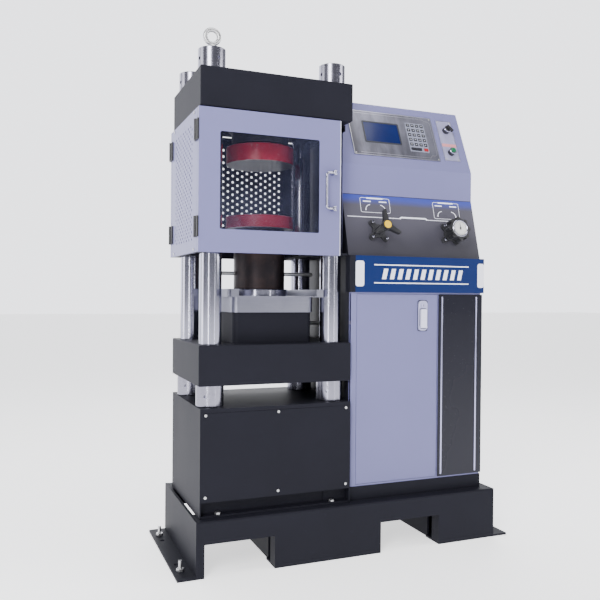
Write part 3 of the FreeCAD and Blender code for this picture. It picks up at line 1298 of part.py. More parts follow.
def spoke(x, angle):
    """One tapered spoke with a round tip, lying in the plane of the handle."""
    a = math.radians(angle)
    cx, cs = math.cos(a), math.sin(a)
    root, tip = SPOKE_ROOT / 2, SPOKE_TIP_R
    reach = SPOKE_REACH - SPOKE_TIP_R

    def at(along, across, out):
        return valve_point(x + along * cx - across * cs, VALVE_S + along * cs + across * cx, out)

    low = HANDLE_STAND - SPOKE_T
    blade = prism([tuple(at(0, -root, low)), tuple(at(reach, -tip, low)),
                   tuple(at(reach, tip, low)), tuple(at(0, root, low))], valve_out * SPOKE_T)
    end = rod(tip, SPOKE_T, at(reach, 0, low), valve_out)
    return fuse(blade, end)


def left_valve_handle():
    """The three-spoke handle of the left valve and its spindle."""
    x = left_valve_x
    hub = rod(HUB_R, HUB_H, valve_point(x, VALVE_S, HANDLE_STAND - HUB_H + 4), valve_out)
    spokes = [spoke(x, SPOKE_START_DEG + 120 * i) for i in range(3)]
    spindle = rod(SPINDLE_R, HANDLE_STAND - 2, valve_point(x, VALVE_S, 0), valve_out)
    collar = rod(SPINDLE_R + 4, HANDLE_STAND - HUB_H - FLANGE_H - BONNET_H + 3,
                 valve_point(x, VALVE_S, FLANGE_H + BONNET_H), valve_out)
    cap_seat = rod(CAP_R + FIT, CAP_H, valve_point(x, VALVE_S, HANDLE_STAND + 2), valve_out)
    return cut(fuse(hub, spindle, collar, *spokes), cap_seat)


def left_handle_cap():
    place = valve_point(left_valve_x, VALVE_S, HANDLE_STAND + 2)
    cap = rod(CAP_R, CAP_H, place, valve_out)
    return cap.makeFillet(1.2, [e for e in cap.Edges if len(e.Vertexes) == 1
                                and (e.CenterOfMass - place).dot(valve_out) > CAP_H / 2])


def right_valve_knob():
    """The lobed knob of the right valve, hollowed at its front for the dial."""
    x = right_valve_x
    low = HANDLE_STAND - KNOB_H
    core = rod(KNOB_R - KNOB_LOBE_R / 2, KNOB_H, valve_point(x, VALVE_S, low), valve_out)
    lobes = []
    for i in range(KNOB_LOBES):
        a = math.radians(360 / KNOB_LOBES * i)
        r = KNOB_R - KNOB_LOBE_R / 2
        lobes.append(rod(KNOB_LOBE_R, KNOB_H - 4, valve_point(x + r * math.cos(a), VALVE_S + r * math.sin(a),
                                                              low + 2), valve_out))
    spindle = rod(SPINDLE_R, HANDLE_STAND - 10, valve_point(x, VALVE_S, 0), valve_out)
    collar = rod(SPINDLE_R + 4, low - FLANGE_H - BONNET_H + 1,
                 valve_point(x, VALVE_S, FLANGE_H + BONNET_H), valve_out)
    seat = rod(DIAL_R + FIT, DIAL_H, valve_point(x, VALVE_S, HANDLE_STAND - DIAL_H + 4), valve_out)
    return cut(fuse(core, spindle, collar, *lobes), seat)


def right_knob_dial():
    """The round indicator set in the knob: a raised bezel round its face."""
    x = right_valve_x
    low = HANDLE_STAND - DIAL_H + 4
    dial = rod(DIAL_R, DIAL_H, valve_point(x, VALVE_S, low), valve_out)
    face = rod(DIAL_R - DIAL_BEZEL, 3, valve_point(x, VALVE_S, low + DIAL_H - 2), valve_out)
    return cut(dial, face)


# Hydraulic unit inside the cabinet

def oil_tank():
    x1, y1 = tank_x0 + TANK_W, tank_y0 + TANK_D
    tank = box(tank_x0, x1, tank_y0, y1, tank_z0, tank_top - TANK_LID_T)
    tank = soften(tank, TANK_EDGE_R, lambda e: is_along(e, Z_AXIS))
    lid = box(tank_x0 - 6, x1 + 6, tank_y0 - 6, y1 + 6, tank_top - TANK_LID_T, tank_top)
    return fuse(tank, lid)


def pump_housing():
    centre = Vector(pump_x, pump_y, tank_top)
    body = rod(PUMP_R, PUMP_H, centre)
    foot = rod(PUMP_FLANGE_R, PUMP_FLANGE_H, centre)
    head = rod(PUMP_FLANGE_R, PUMP_FLANGE_H, centre + Vector(0, 0, PUMP_H))
    outlet = rod(PIPE_R + 5, PUMP_FLANGE_R + 6, centre + Vector(0, 0, PUMP_H / 2), Vector(-1, 0, 0))
    return fuse(body, foot, head, outlet)


def pump_motor():
    """The finned motor that stands on the pump, with its fan cowl on top."""
    place = Vector(pump_x, pump_y, motor_z0)
    body = rod(MOTOR_R, MOTOR_H, place)
    cowl = rod(MOTOR_R + MOTOR_FIN_H + 2, MOTOR_COWL_H, place + Vector(0, 0, MOTOR_H - MOTOR_COWL_H))
    flange = rod(PUMP_FLANGE_R, PUMP_FLANGE_H, place)
    fin_z0 = motor_z0 + PUMP_FLANGE_H + 6
    fins = []
    for i in range(MOTOR_FINS):
        fin = box(pump_x + MOTOR_R - 3, pump_x + MOTOR_R + MOTOR_FIN_H, pump_y - MOTOR_FIN_T / 2,
                  pump_y + MOTOR_FIN_T / 2, fin_z0, motor_z0 + MOTOR_H - MOTOR_COWL_H + 1)
        fin.rotate(Vector(pump_x, pump_y, 0), Z_AXIS, 360 / MOTOR_FINS * i)
        fins.append(fin)
    return fuse(body, cowl, flange, *fins)


def valve_manifold():
    """The control block on the tank lid that feeds the cylinder."""
    x0, y0 = manifold_x - MANIFOLD_W / 2, pipe_y - MANIFOLD_D / 2
    block = box(x0, x0 + MANIFOLD_W, y0, y0 + MANIFOLD_D, tank_top, tank_top + MANIFOLD_H)
    block = soften(block, 3.0, lambda e: is_along(e, Z_AXIS))
    caps = [hexagon(FITTING_AF, 12, Vector(x0 + 22 + 33 * i, y0, tank_top + MANIFOLD_H / 2), Vector(0, -1, 0))
            for i in range(3)]
    port = rod(PORT_R, 20, Vector(manifold_x, pipe_y, tank_top + MANIFOLD_H - 20))
    return cut(fuse(block, *caps), port)


def feed_pipe():
    """The pressure pipe from the control block to the cylinder, with a nut at each end."""
    block_x = frame_x + BLOCK_SIZE / 2 + BLOCK_PORT_SIDE
    start = Vector(block_x, pipe_y, port_z)
    top = tank_top + MANIFOLD_H
    c = PIPE_BEND_R
    k = c * (1 - math.sqrt(0.5))
    bend = manifold_x
    path = Part.Wire([
        Part.LineSegment(start, Vector(bend - c, pipe_y, port_z)).toShape(),
        Part.Arc(Vector(bend - c, pipe_y, port_z), Vector(bend - k, pipe_y, port_z - k),
                 Vector(bend, pipe_y, port_z - c)).toShape(),
        Part.LineSegment(Vector(bend, pipe_y, port_z - c), Vector(bend, pipe_y, top)).toShape()])
    tube = path.makePipeShell([Part.Wire(Part.makeCircle(PIPE_R, start, X_AXIS))], True, False)
    bore = path.makePipeShell([Part.Wire(Part.makeCircle(PIPE_R - PIPE_WALL, start, X_AXIS))], True, False)
    nuts = [hexagon(FITTING_AF, FITTING_L, start, X_AXIS),
            hexagon(FITTING_AF, FITTING_L, Vector(bend, pipe_y, top))]
    grommet = rod(GROMMET_R, 4, Vector(cabinet_x0 - 4, pipe_y, port_z), X_AXIS)
    outer = path.makePipeShell([Part.Wire(Part.makeCircle(PIPE_R + FIT, start, X_AXIS))], True, False)
    rings = [cut(piece, outer) for piece in nuts + [grommet]]
    return [cut(tube, bore)] + rings


# Parts

export("base_front_beam", base_beam(True))
export("base_rear_beam", base_beam(False))
export("base_left_end_plate", end_plate(-1))
export("base_right_end_plate", end_plate(1))
export("base_cross_members", *cross_members())
export("levelling_screws", *levelling_screws())

export("pedestal_frame", pedestal_frame())
export("pedestal_shell", pedestal_shell())
export("pedestal_front_panel", pedestal_front_panel())
export("hold_down_bolts", *hold_down_bolts())
export("panel_screws", *[pan_head_screw(place, Y_AXIS) for place in pedestal_screw_places()],
       *[pan_head_screw(place, X_AXIS) for place in guard_screw_places()])

export("lower_crosshead", crosshead(lower_crosshead_z, LOWER_CROSSHEAD_H))
export("upper_crosshead", crosshead(upper_crosshead_z, UPPER_CROSSHEAD_H))
export("columns", *columns())
export("column_nuts", *[column_nut(x, y, z, turn) for x, y in column_places
                        for z, turn in ((pedestal_top, LOWER_NUT_TURN), (upper_nut_z, UPPER_NUT_TURN))])
export("eye_bolt", eye_bolt())

export("cylinder_block", cylinder_block())
export("piston", piston())
export("dust_tray", dust_tray())
export("spacer_block", spacer_block())
export("lower_platen", lower_platen())
export("upper_platen", upper_platen())
export("ball_seat", ball_seat())
export("retaining_ring", *retaining_ring())
export("spacer_handles", *spacer_handles())
export("feed_pipe", *feed_pipe())

fixed_leaves, front_leaves, rear_leaves = [], [], []
for hinge_z in (hinge_low_z, hinge_high_z):
    for seam, away, leaves in ((front_seam_y, -1, front_leaves), (rear_seam_y, 1, rear_leaves)):
        fixed, moving = hinge_halves(hinge_z, seam, away)
        fixed_leaves.append(fixed)
        leaves.append(moving)
export("guard_hinge_leaves", *fixed_leaves)
export("front_door_hinge_leaves", *front_leaves)
export("rear_door_hinge_leaves", *rear_leaves)
export("guard_left_panel", guard_left_panel())
export("guard_right_panel", guard_right_panel())
export("guard_brackets", *guard_brackets())
export("front_door_frame", front_door_frame())
export("front_door_window", front_door_window())
export("rear_door", rear_door())
export("handle_mounts", *handle_mounts())
export("handle_bail", handle_bail())

export("cabinet_plinth", cabinet_plinth())
export("cabinet_shell", cabinet_shell())
export("cabinet_door", cabinet_door())
export("dark_panel", dark_panel())
export("lock_body", lock_body())
export("lock_handle", lock_handle())
export("band_box", band_box())
export("valve_panel", valve_panel())
export("console_plates", *console_plates())
export("lcd_display", lcd_display())
export("keypad", keypad())
export("switch_bezels", *switch_bezels())
export("selector_lever", selector_lever())
export("push_button", push_button())

export("valve_flanges", *valve_flange(left_valve_x), *valve_flange(right_valve_x))
export("left_valve_handle", left_valve_handle())
export("left_handle_cap", left_handle_cap())
export("right_valve_knob", right_valve_knob())
export("right_knob_dial", right_knob_dial())

export("oil_tank", oil_tank())
export("pump_housing", pump_housing())
export("pump_motor", pump_motor())
export("valve_manifold", valve_manifold())
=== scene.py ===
import json
import math

import bmesh
import bpy
from bpy.props import FloatProperty, FloatVectorProperty, IntProperty, PointerProperty
from mathutils import Matrix, Vector


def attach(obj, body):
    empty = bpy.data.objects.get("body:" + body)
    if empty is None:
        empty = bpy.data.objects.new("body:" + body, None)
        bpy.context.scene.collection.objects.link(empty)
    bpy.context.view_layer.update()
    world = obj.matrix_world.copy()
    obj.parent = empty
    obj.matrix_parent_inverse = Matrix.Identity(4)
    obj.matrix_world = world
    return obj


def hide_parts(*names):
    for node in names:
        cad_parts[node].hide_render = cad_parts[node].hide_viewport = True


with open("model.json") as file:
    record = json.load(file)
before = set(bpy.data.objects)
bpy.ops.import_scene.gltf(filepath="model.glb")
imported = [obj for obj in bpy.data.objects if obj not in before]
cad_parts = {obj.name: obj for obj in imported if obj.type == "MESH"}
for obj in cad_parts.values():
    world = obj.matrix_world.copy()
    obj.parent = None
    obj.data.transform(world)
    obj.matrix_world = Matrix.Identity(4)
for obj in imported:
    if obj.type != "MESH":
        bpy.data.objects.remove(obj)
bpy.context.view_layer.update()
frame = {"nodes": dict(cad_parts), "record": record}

bl_info = {
    "name": "Compression Testing Machine",
    "version": (1, 0, 0),
    "blender": (4, 5, 0),
    "location": "View3D > Sidebar > Machine",
    "description": "Finishes and fine detail for a four-column compression testing machine",
    "category": "Object",
}

MM = 0.001


# Places that the CAD sizes give, in millimetres

GUARD_X0 = -604.0
GUARD_Z0 = 1116.0
GUARD_Z1 = 1614.0
GUARD_FRONT = -241.0
GUARD_REAR = 226.0
DOOR_W = 536.0
DOOR_RETURN = 21.0
# Painted highlight: from this X the front door's right edge is painted bright, standing in for the
# light its folded edge catches.
DOOR_HIGHLIGHT_EDGE = -70.3
GUARD_X1 = -25.5
SHEET = 2.0
SIDE_Y0 = GUARD_FRONT + DOOR_RETURN + 1.5
SIDE_Y1 = GUARD_REAR - DOOR_RETURN - 1.5
VALVE_ORIGIN = Vector((0.0, -204.0, 1121.0))
VALVE_UP = Vector((0.0, 65.0, 244.0)).normalized()
VALVE_OUT = Vector((0.0, -VALVE_UP.z, VALVE_UP.y))
CONSOLE_ORIGIN = Vector((0.0, -139.0, 1482.0))
CONSOLE_UP = Vector((0.0, 119.0, 272.0)).normalized()
CONSOLE_OUT = Vector((0.0, -CONSOLE_UP.z, CONSOLE_UP.y))
CABINET_LEFT = -14.2
BAND_FRONT = -226.0
FRAME_X, FRAME_Y = -307.0, -12.0
COLUMN_PLACES = [(FRAME_X + sx * 233.0, FRAME_Y + sy * 153.0) for sy in (-1, 1) for sx in (-1, 1)]
PEDESTAL_TOP = 573.5
COLUMN_TOP = 1834.5
PISTON_TOP = 990.5
SPACER_TOP = 1219.5
LOWER_FACE = 1267.5
UPPER_FACE = 1466.5
DISPLAY = (47.0, 442.0, 45.5, 259.0)
SWITCHES = (466.0, 541.0, 52.5, 252.5)
SCREEN = (111.0, 269.0, 112.0, 205.0)
KEYPAD = (308.0, 398.0, 82.0, 222.0)
WIDE_KEY = (313.0, 363.0, 87.0, 101.0)
RED_KEY = (374.0, 393.0, 87.0, 101.0)
LABEL = (470.0, 539.0, 122.0, 137.0)
SWITCH_X, SELECTOR_S, BUTTON_S = 503.5, 202.0, 93.0
BARREL_TOP = 23.0
LEFT_VALVE, RIGHT_VALVE, VALVE_S = 123.0, 450.5, 101.0
HANDLE_STAND = 78.0
MOULDINGS_X = (387.0, 549.0)
LOCK_FACE = -223.0
LOCK_BODY = (281.0, 323.0, 832.0, 951.0)
LOCK_LEVER = (287.2, 316.8, 841.6, 919.4)
SHARP = math.radians(40.0)
FLOOR_GLOW = 1.3


def on_valves(x, s, out=0.0):
    """A point on the valve panel: x across, s up the slope, out from the sheet."""
    return VALVE_ORIGIN + Vector((x, 0, 0)) + VALVE_UP * s + VALVE_OUT * out


def on_console(x, s, out=0.0):
    """A point on the console slope: x across, s up the slope, out from the sheet."""
    return CONSOLE_ORIGIN + Vector((x, 0, 0)) + CONSOLE_UP * s + CONSOLE_OUT * out


def on_band(x, z, out=0.0):
    """A point on the coloured band's front."""
    return Vector((x, BAND_FRONT - out, z))


# Settings that a user would change

class StageSettings(bpy.types.PropertyGroup):
    """Camera, floor and light."""
    eye: FloatVectorProperty(name="Camera place", description="Where the camera stands",
                             default=(-1.1717, -2.5873, 0.9734), subtype="TRANSLATION",
                             unit="LENGTH")
    yaw: FloatProperty(name="Yaw", description="Turn of the view to the right of straight back",
                       default=math.radians(21.932), subtype="ANGLE", unit="ROTATION")
    pitch: FloatProperty(name="Pitch", description="Tilt of the view above the horizon",
                         default=math.radians(-0.501), subtype="ANGLE", unit="ROTATION")
    roll: FloatProperty(name="Roll", description="Turn of the picture about the view",
                        default=math.radians(0.458), subtype="ANGLE", unit="ROTATION")
    lens: FloatProperty(name="Lens", description="Focal length on a 36 mm sensor",
                        default=41.913, min=10, max=200)
    back_light: FloatProperty(name="Back light", description="Glow behind the machine",
                              default=3.0, min=0, max=10)
    backdrop: FloatProperty(name="Backdrop", description="Brightness of the plain backdrop",
                            default=2.78, min=0, max=10)
    front_light: FloatProperty(name="Front light", description="Glow at the front",
                               default=0.30, min=0, max=10)
    floor: FloatVectorProperty(name="Floor colour", description="Colour of the plain floor",
                               default=(0.93, 0.93, 0.94), size=3, subtype="COLOR", min=0, max=1)


class PaintSettings(bpy.types.PropertyGroup):
    """Colours of the painted sheet and steel, and of the painted shade inside the guard."""
    charcoal: FloatVectorProperty(name="Charcoal", description="Textured paint of the load frame",
                                  default=(0.0105, 0.0106, 0.0160), size=3, subtype="COLOR",
                                  min=0, max=1)
    grey: FloatVectorProperty(name="Grey", description="Smooth paint of guard and cabinet",
                              default=(0.158, 0.158, 0.315), size=3, subtype="COLOR", min=0, max=1)
    blue: FloatVectorProperty(name="Blue", description="Gloss paint of the band",
                              default=(0.0012, 0.0125, 0.085), size=3, subtype="COLOR",
                              min=0, max=1)
    # Painted shade: a dark colour for the inside of the guard, standing in for the shade there; the
    # real sheet is grey inside as well.
    guard_inside: FloatVectorProperty(name="Guard inside", description="Paint inside the guard",
                                      default=(0.014, 0.014, 0.026), size=3, subtype="COLOR",
                                      min=0, max=1)
    red: FloatVectorProperty(name="Red", description="Paint round the platens' edges",
                             default=(0.35, 0.010, 0.035), size=3, subtype="COLOR", min=0, max=1)


class PerforationSettings(bpy.types.PropertyGroup):
    """The guard's pattern of round holes."""
    radius: FloatProperty(name="Hole radius", description="Radius of one hole",
                          default=0.0051, min=0.001, max=0.02, unit="LENGTH")
    pitch: FloatProperty(name="Pitch", description="Distance of the holes up a column",
                         default=0.026, min=0.005, max=0.1, unit="LENGTH")
    step: FloatProperty(name="Column step", description="Distance from column to column",
                        default=0.0205, min=0.005, max=0.1, unit="LENGTH")
    sides: IntProperty(name="Sides", description="Facets round one hole", default=20, min=6,
                       max=64)


# Shader maths

class Term:
    """A value in a material. Its operators add Math nodes, and node() adds any other node."""

    def __init__(self, tree, socket=None):
        self.tree, self.socket = tree, socket

    def node(self, kind, settings=None, inputs=None, output=0):
        made = self.tree.nodes.new(kind)
        for name, value in (settings or {}).items():
            if name == "stops":
                ramp = made.color_ramp.elements
                while len(ramp) < len(value):
                    ramp.new(0.5)
                for stop, (place, colour) in zip(ramp, value):
                    stop.position, stop.color = place, (*colour, 1.0)
            else:
                setattr(made, name, value)
        for name, value in (inputs or {}).items():
            socket = made.inputs[name]
            if isinstance(value, Term):
                self.tree.links.new(value.socket, socket)
            else:
                socket.default_value = value
        return Term(self.tree, made.outputs[output] if made.outputs else None)

    def maths(self, operation, *values):
        settings = {"operation": operation}
        return self.node("ShaderNodeMath", settings, dict(enumerate(values)))

    def __add__(self, other):
        return self.maths("ADD", self, other)

    def __sub__(self, other):
        return self.maths("SUBTRACT", self, other)

    def __mul__(self, other):
        return self.maths("MULTIPLY", self, other)

    def __rsub__(self, other):
        return self.maths("SUBTRACT", other, self)

    def __gt__(self, other):
        return self.maths("GREATER_THAN", self, other)

    def __lt__(self, other):
        return self.maths("LESS_THAN", self, other)

    __radd__ = __add__
    __rmul__ = __mul__

    def smooth(self, low, high):
        """0 below low, 1 above high, and a smooth rise between."""
        return self.node("ShaderNodeMapRange", {"interpolation_type": "SMOOTHSTEP"},
                         {"Value": self, "From Min": low, "From Max": high})


class Finish:
    """A material under construction: its coordinates, its noises and its shader."""

    def __init__(self, name):
        self.material = bpy.data.materials.new(name)
        self.material.use_nodes = True
        self.tree = self.material.node_tree
        self.tree.nodes.clear()
        self.start = Term(self.tree)
        self.place = self.start.node("ShaderNodeTexCoord", output="Object")

    def axis(self, name):
        return self.start.node("ShaderNodeSeparateXYZ", None, {"Vector": self.place},
                               output="XYZ".index(name))

    def stretched(self, scale, centre=(0, 0, 0)):
        """Object coordinates moved to a centre and scaled along each axis."""
        moved = self.start.node("ShaderNodeVectorMath", {"operation": "SUBTRACT"},
                                {0: self.place, 1: centre})
        return self.start.node("ShaderNodeVectorMath", {"operation": "MULTIPLY"},
                               {0: moved, 1: scale})

    def noise(self, scale, detail=3.0, rough=0.55, vector=None):
        return self.start.node("ShaderNodeTexNoise", None,
                               {"Vector": vector or self.place, "Scale": scale,
                                "Detail": detail, "Roughness": rough})

    def mix(self, factor, first, second):
        made = self.tree.nodes.new("ShaderNodeMix")
        made.data_type = "RGBA"
        for socket, value in ((made.inputs[0], factor), (made.inputs[6], first),
                              (made.inputs[7], second)):
            if isinstance(value, Term):
                self.tree.links.new(value.socket, socket)
            elif isinstance(value, (int, float)):
                socket.default_value = value
            else:
                socket.default_value = (*value, 1.0)
        return Term(self.tree, made.outputs[2])

    def bump(self, height, strength, distance):
        return self.start.node("ShaderNodeBump", None,
                               {"Height": height, "Strength": strength, "Distance": distance})

    def done(self, colour, roughness, normal=None, **constants):
        inputs = {"Base Color": colour if isinstance(colour, Term) else (*colour, 1.0),
                  "Roughness": roughness}
        if normal:
            inputs["Normal"] = normal
        for name, value in constants.items():
            inputs[name.replace("_", " ")] = value
        surface = self.start.node("ShaderNodeBsdfPrincipled", None, inputs)
        self.start.node("ShaderNodeOutputMaterial", None, {"Surface": surface})
        return self.material


def shade(colour, share):
    return tuple(min(1.0, c * share) for c in colour)


def textured_paint(name, colour, grain=1100.0, rough=0.5):
    """Powder coat with a fine crinkle, worn a little lighter here and there."""
    f = Finish(name)
    broad = f.noise(4.0, 4.0)
    fine = f.noise(grain, 2.0)
    scuff = f.noise(38.0, 6.0, 0.7).smooth(0.60, 0.74)
    base = f.mix(broad, shade(colour, 0.82), shade(colour, 1.22))
    base = f.mix(scuff * 0.35, base, shade(colour, 1.75))
    crinkle = f.bump(fine + f.noise(grain * 0.35, 3.0) * 0.6, 0.35, 0.00025)
    return f.done(base, rough + broad * 0.1 + scuff * 0.08, crinkle, Specular_IOR_Level=0.09)


PAINT_COAT = {"Coat_Weight": 0.03, "Coat_Roughness": 0.12, "Specular_IOR_Level": 0.2}


def sprayed(f, colour):
    """Sprayed paint: its marked colour, the hand marks, a broad cloud and an orange peel."""
    cloud = f.noise(2.5, 4.0)
    marks = f.noise(22.0, 7.0, 0.72).smooth(0.55, 0.8)
    base = f.mix(cloud, shade(colour, 0.94), shade(colour, 1.06))
    base = f.mix(marks * 0.22, base, shade(colour, 0.82))
    return base, marks, cloud, f.bump(f.noise(330.0, 2.0), 0.12, 0.0003)


def smooth_paint(name, colour, rough=0.33):
    f = Finish(name)
    base, marks, cloud, peel = sprayed(f, colour)
    return f.done(base, rough + marks * 0.12 + cloud * 0.06, peel, **PAINT_COAT)


def guard_paint_with_painted_light(name, grey, inner, edge=None):
    """Grey paint outside, painted shade inside the guard, and a painted highlight along a rolled
    edge where one is given.
    """
    f = Finish(name)
    x, y = f.axis("X"), f.axis("Y")
    # Painted shade: the faces inside the guard are darkened where shade falls, not because the
    # sheet is darker there.
    inside = ((x > (GUARD_X0 + 1.2) * MM) * (y > (GUARD_FRONT + 1.2) * MM)
              * (y < (GUARD_REAR - 1.2) * MM) * (x < GUARD_X1 * MM))
    base, marks, cloud, peel = sprayed(f, grey)
    # Painted highlight: a bright strip along the door's right edge in place of the light that the
    # fold catches.
    if edge:
        base = f.mix(x > edge * MM, base, (0.78, 0.78, 0.86))
    base = f.mix(inside, base, inner)
    return f.done(base, marks * 0.12 + cloud * 0.06 + inside * 0.2 + 0.33, peel, **PAINT_COAT)


def cabinet_paint(name, grey, charcoal):
    """The cabinet's grey paint, with its left side in charcoal."""
    f = Finish(name)
    side = f.axis("X") < CABINET_LEFT * MM
    base, marks, _, peel = sprayed(f, grey)
    return f.done(f.mix(side, base, charcoal), marks * 0.12 + side * 0.15 + 0.35, peel,
                  **PAINT_COAT)


def chromed(name, colour, rough):
    """Hard chrome with the faint lines of grinding along its length."""
    f = Finish(name)
    streak = f.noise(1.0, 4.0, 0.6, f.stretched((260.0, 260.0, 3.0)))
    smear = f.noise(9.0, 5.0, 0.65).smooth(0.5, 0.8)
    base = f.mix(streak, shade(colour, 0.86), colour)
    return f.done(base, streak * 0.10 + smear * 0.10 + rough,
                  f.bump(streak, 0.05, 0.0002), Metallic=1.0)


def brushed(name, colour, scale, rough):
    """Bare metal brushed along the axis with the smallest scale."""
    f = Finish(name)
    lines = f.noise(1.0, 5.0, 0.65, f.stretched(scale))
    smear = f.noise(14.0, 6.0, 0.7).smooth(0.45, 0.85)
    base = f.mix(lines, shade(colour, 0.78), shade(colour, 1.08))
    base = f.mix(smear * 0.25, base, shade(colour, 0.66))
    return f.done(base, lines * 0.16 + smear * 0.12 + rough, f.bump(lines, 0.12, 0.0002),
                  Metallic=1.0)


def console_plate_finish(name):
    """Brushed display plate with painted shade along its left, and the pale switch plate beside it.
    """
    f = Finish(name)
    across = f.axis("X")
    lines = f.noise(1.0, 5.0, 0.65, f.stretched((12.0, 520.0, 520.0)))
    cloud = f.noise(1.0, 4.0, 0.6, f.stretched((14.0, 5.0, 5.0)))
    # Painted shade: the plate's left strip is darkened where shade falls on it.
    edge = across.smooth(0.046, 0.10)
    metal = f.mix(cloud.smooth(0.3, 0.7), (0.13, 0.13, 0.165), (0.33, 0.33, 0.42))
    metal = f.mix(edge, (0.07, 0.068, 0.08), metal)
    metal = f.mix(lines * 0.5, metal, (0.13, 0.13, 0.15))
    pale = across > 0.454
    base = f.mix(pale, metal, (0.34, 0.335, 0.52))
    return f.done(base, lines * 0.2 + 0.22, f.bump(lines, 0.12, 0.0002), Metallic=0.85 - pale * 0.6)


def blackened(name, colour, stain):
    """Oiled black steel with brown patches and a few bright rubs."""
    f = Finish(name)
    cloud = f.noise(11.0, 6.0, 0.65).smooth(0.35, 0.7)
    rub = f.noise(1.0, 5.0, 0.7, f.stretched((60.0, 60.0, 9.0))).smooth(0.62, 0.78)
    base = f.mix(cloud, colour, stain)
    base = f.mix(rub * 0.5, base, shade(stain, 2.6))
    return f.done(base, 0.42 - rub * 0.16 + cloud * 0.1, f.bump(f.noise(240.0, 4.0), 0.2, 0.0003),
                  Metallic=0.75)


def moulded(name, colour, rough=0.42):
    """Moulded plastic with a fine grain and a little dust."""
    f = Finish(name)
    grain = f.noise(900.0, 2.0)
    dust = f.noise(30.0, 6.0, 0.7).smooth(0.5, 0.85)
    base = f.mix(dust * 0.3, colour, tuple(c * 0.7 + 0.03 for c in colour))
    return f.done(base, rough + dust * 0.15, f.bump(grain, 0.15, 0.0001))


def cast_metal(name, colour):
    """Sand-cast metal, painted dark."""
    f = Finish(name)
    sand = f.noise(420.0, 4.0, 0.7)
    cloud = f.noise(16.0, 4.0)
    base = f.mix(cloud, shade(colour, 0.75), shade(colour, 1.2))
    return f.done(base, cloud * 0.1 + 0.5, f.bump(sand, 0.4, 0.0004), Metallic=0.45)


def platen_finish(name, red):
    """Ground faces, with red paint round the edge."""
    f = Finish(name)
    normal = f.start.node("ShaderNodeNewGeometry", output="Normal")
    upright = f.start.node("ShaderNodeSeparateXYZ", None, {"Vector": normal}, output=2)
    side = 1.0 - upright.maths("ABSOLUTE", upright).smooth(0.25, 0.5)
    worn = f.noise(26.0, 7.0, 0.72).smooth(0.56, 0.72)
    paint = side * (1.0 - worn * 0.55)
    rings = f.noise(1.0, 4.0, 0.6, f.stretched((130.0, 130.0, 4.0)))
    steel = f.mix(rings, (0.30, 0.30, 0.32), (0.50, 0.50, 0.52))
    coat = f.mix(f.noise(8.0, 5.0), shade(red, 0.62), shade(red, 1.35))
    return f.done(f.mix(paint, steel, coat), 0.30 + paint * 0.08 + worn * 0.1,
                  f.bump(rings + worn * 0.6, 0.12, 0.0003), Metallic=1.0 - paint)


def clear_sheet(name):
    """Clear acrylic with fine scratches, seen through by alpha."""
    f = Finish(name)
    scratch = f.noise(1.0, 6.0, 0.75, f.stretched((90.0, 90.0, 7.0))).smooth(0.60, 0.80)
    haze = f.noise(3.2, 5.0, 0.6).smooth(0.40, 0.75)
    base = f.mix(haze, (0.020, 0.022, 0.045), (0.05, 0.055, 0.10))
    material = f.done(base, scratch * 0.2 + 0.05, Alpha=haze * 0.14 + scratch * 0.05 + 0.16)
    material.surface_render_method = "BLENDED"
    return material


def gloss_panel(name, colour):
    """Dark glass-like plastic with a soft sheen."""
    f = Finish(name)
    haze = f.noise(1.6, 4.0, 0.5)
    swirl = f.noise(60.0, 6.0, 0.75).smooth(0.60, 0.85)
    base = f.mix(haze, shade(colour, 0.8), shade(colour, 1.5))
    return f.done(base, swirl * 0.10 + haze * 0.06 + 0.24, f.bump(haze, 0.02, 0.001),
                  Coat_Weight=0.05, Coat_Roughness=0.04, Specular_IOR_Level=0.25)


def valve_panel_finish(name, grey, blue):
    """Grey-brown paint, darker towards the bottom, that turns blue in a soft fade under the top
    edge.
    """
    f = Finish(name)
    height = f.axis("Z")
    waver = f.noise(5.0, 3.0) * 0.010
    fade = (height + waver).smooth(1.325, 1.360)
    cloud = f.noise(3.0, 4.0)
    base = f.mix(cloud, shade(grey, 0.86), shade(grey, 1.15))
    base = f.mix(height.smooth(1.13, 1.30), shade(grey, 0.5), base)
    base = f.mix(fade, base, blue)
    return f.done(base, 0.36 + cloud * 0.08, f.bump(f.noise(330.0, 2.0), 0.12, 0.0003),
                  Coat_Weight=0.04, Coat_Roughness=0.15, Specular_IOR_Level=0.22)


def screen_finish(name):
    """A blue display with faint rows."""
    f = Finish(name)
    angle = f.axis("Z") * 1450.0
    rows = angle.maths("SINE", angle) * 0.5 + 0.5
    cloud = f.noise(9.0, 3.0)
    base = f.mix(cloud, (0.002, 0.004, 0.035), (0.006, 0.013, 0.090))
    base = f.mix(rows * 0.10, base, (0.012, 0.05, 0.22))
    return f.done(base, 0.12 + cloud * 0.05, Coat_Weight=0.06, Coat_Roughness=0.05,
                  Specular_IOR_Level=0.25, Emission_Color=base, Emission_Strength=0.12)


# Every look by name: its maker and the maker's values, where a text is a paint setting

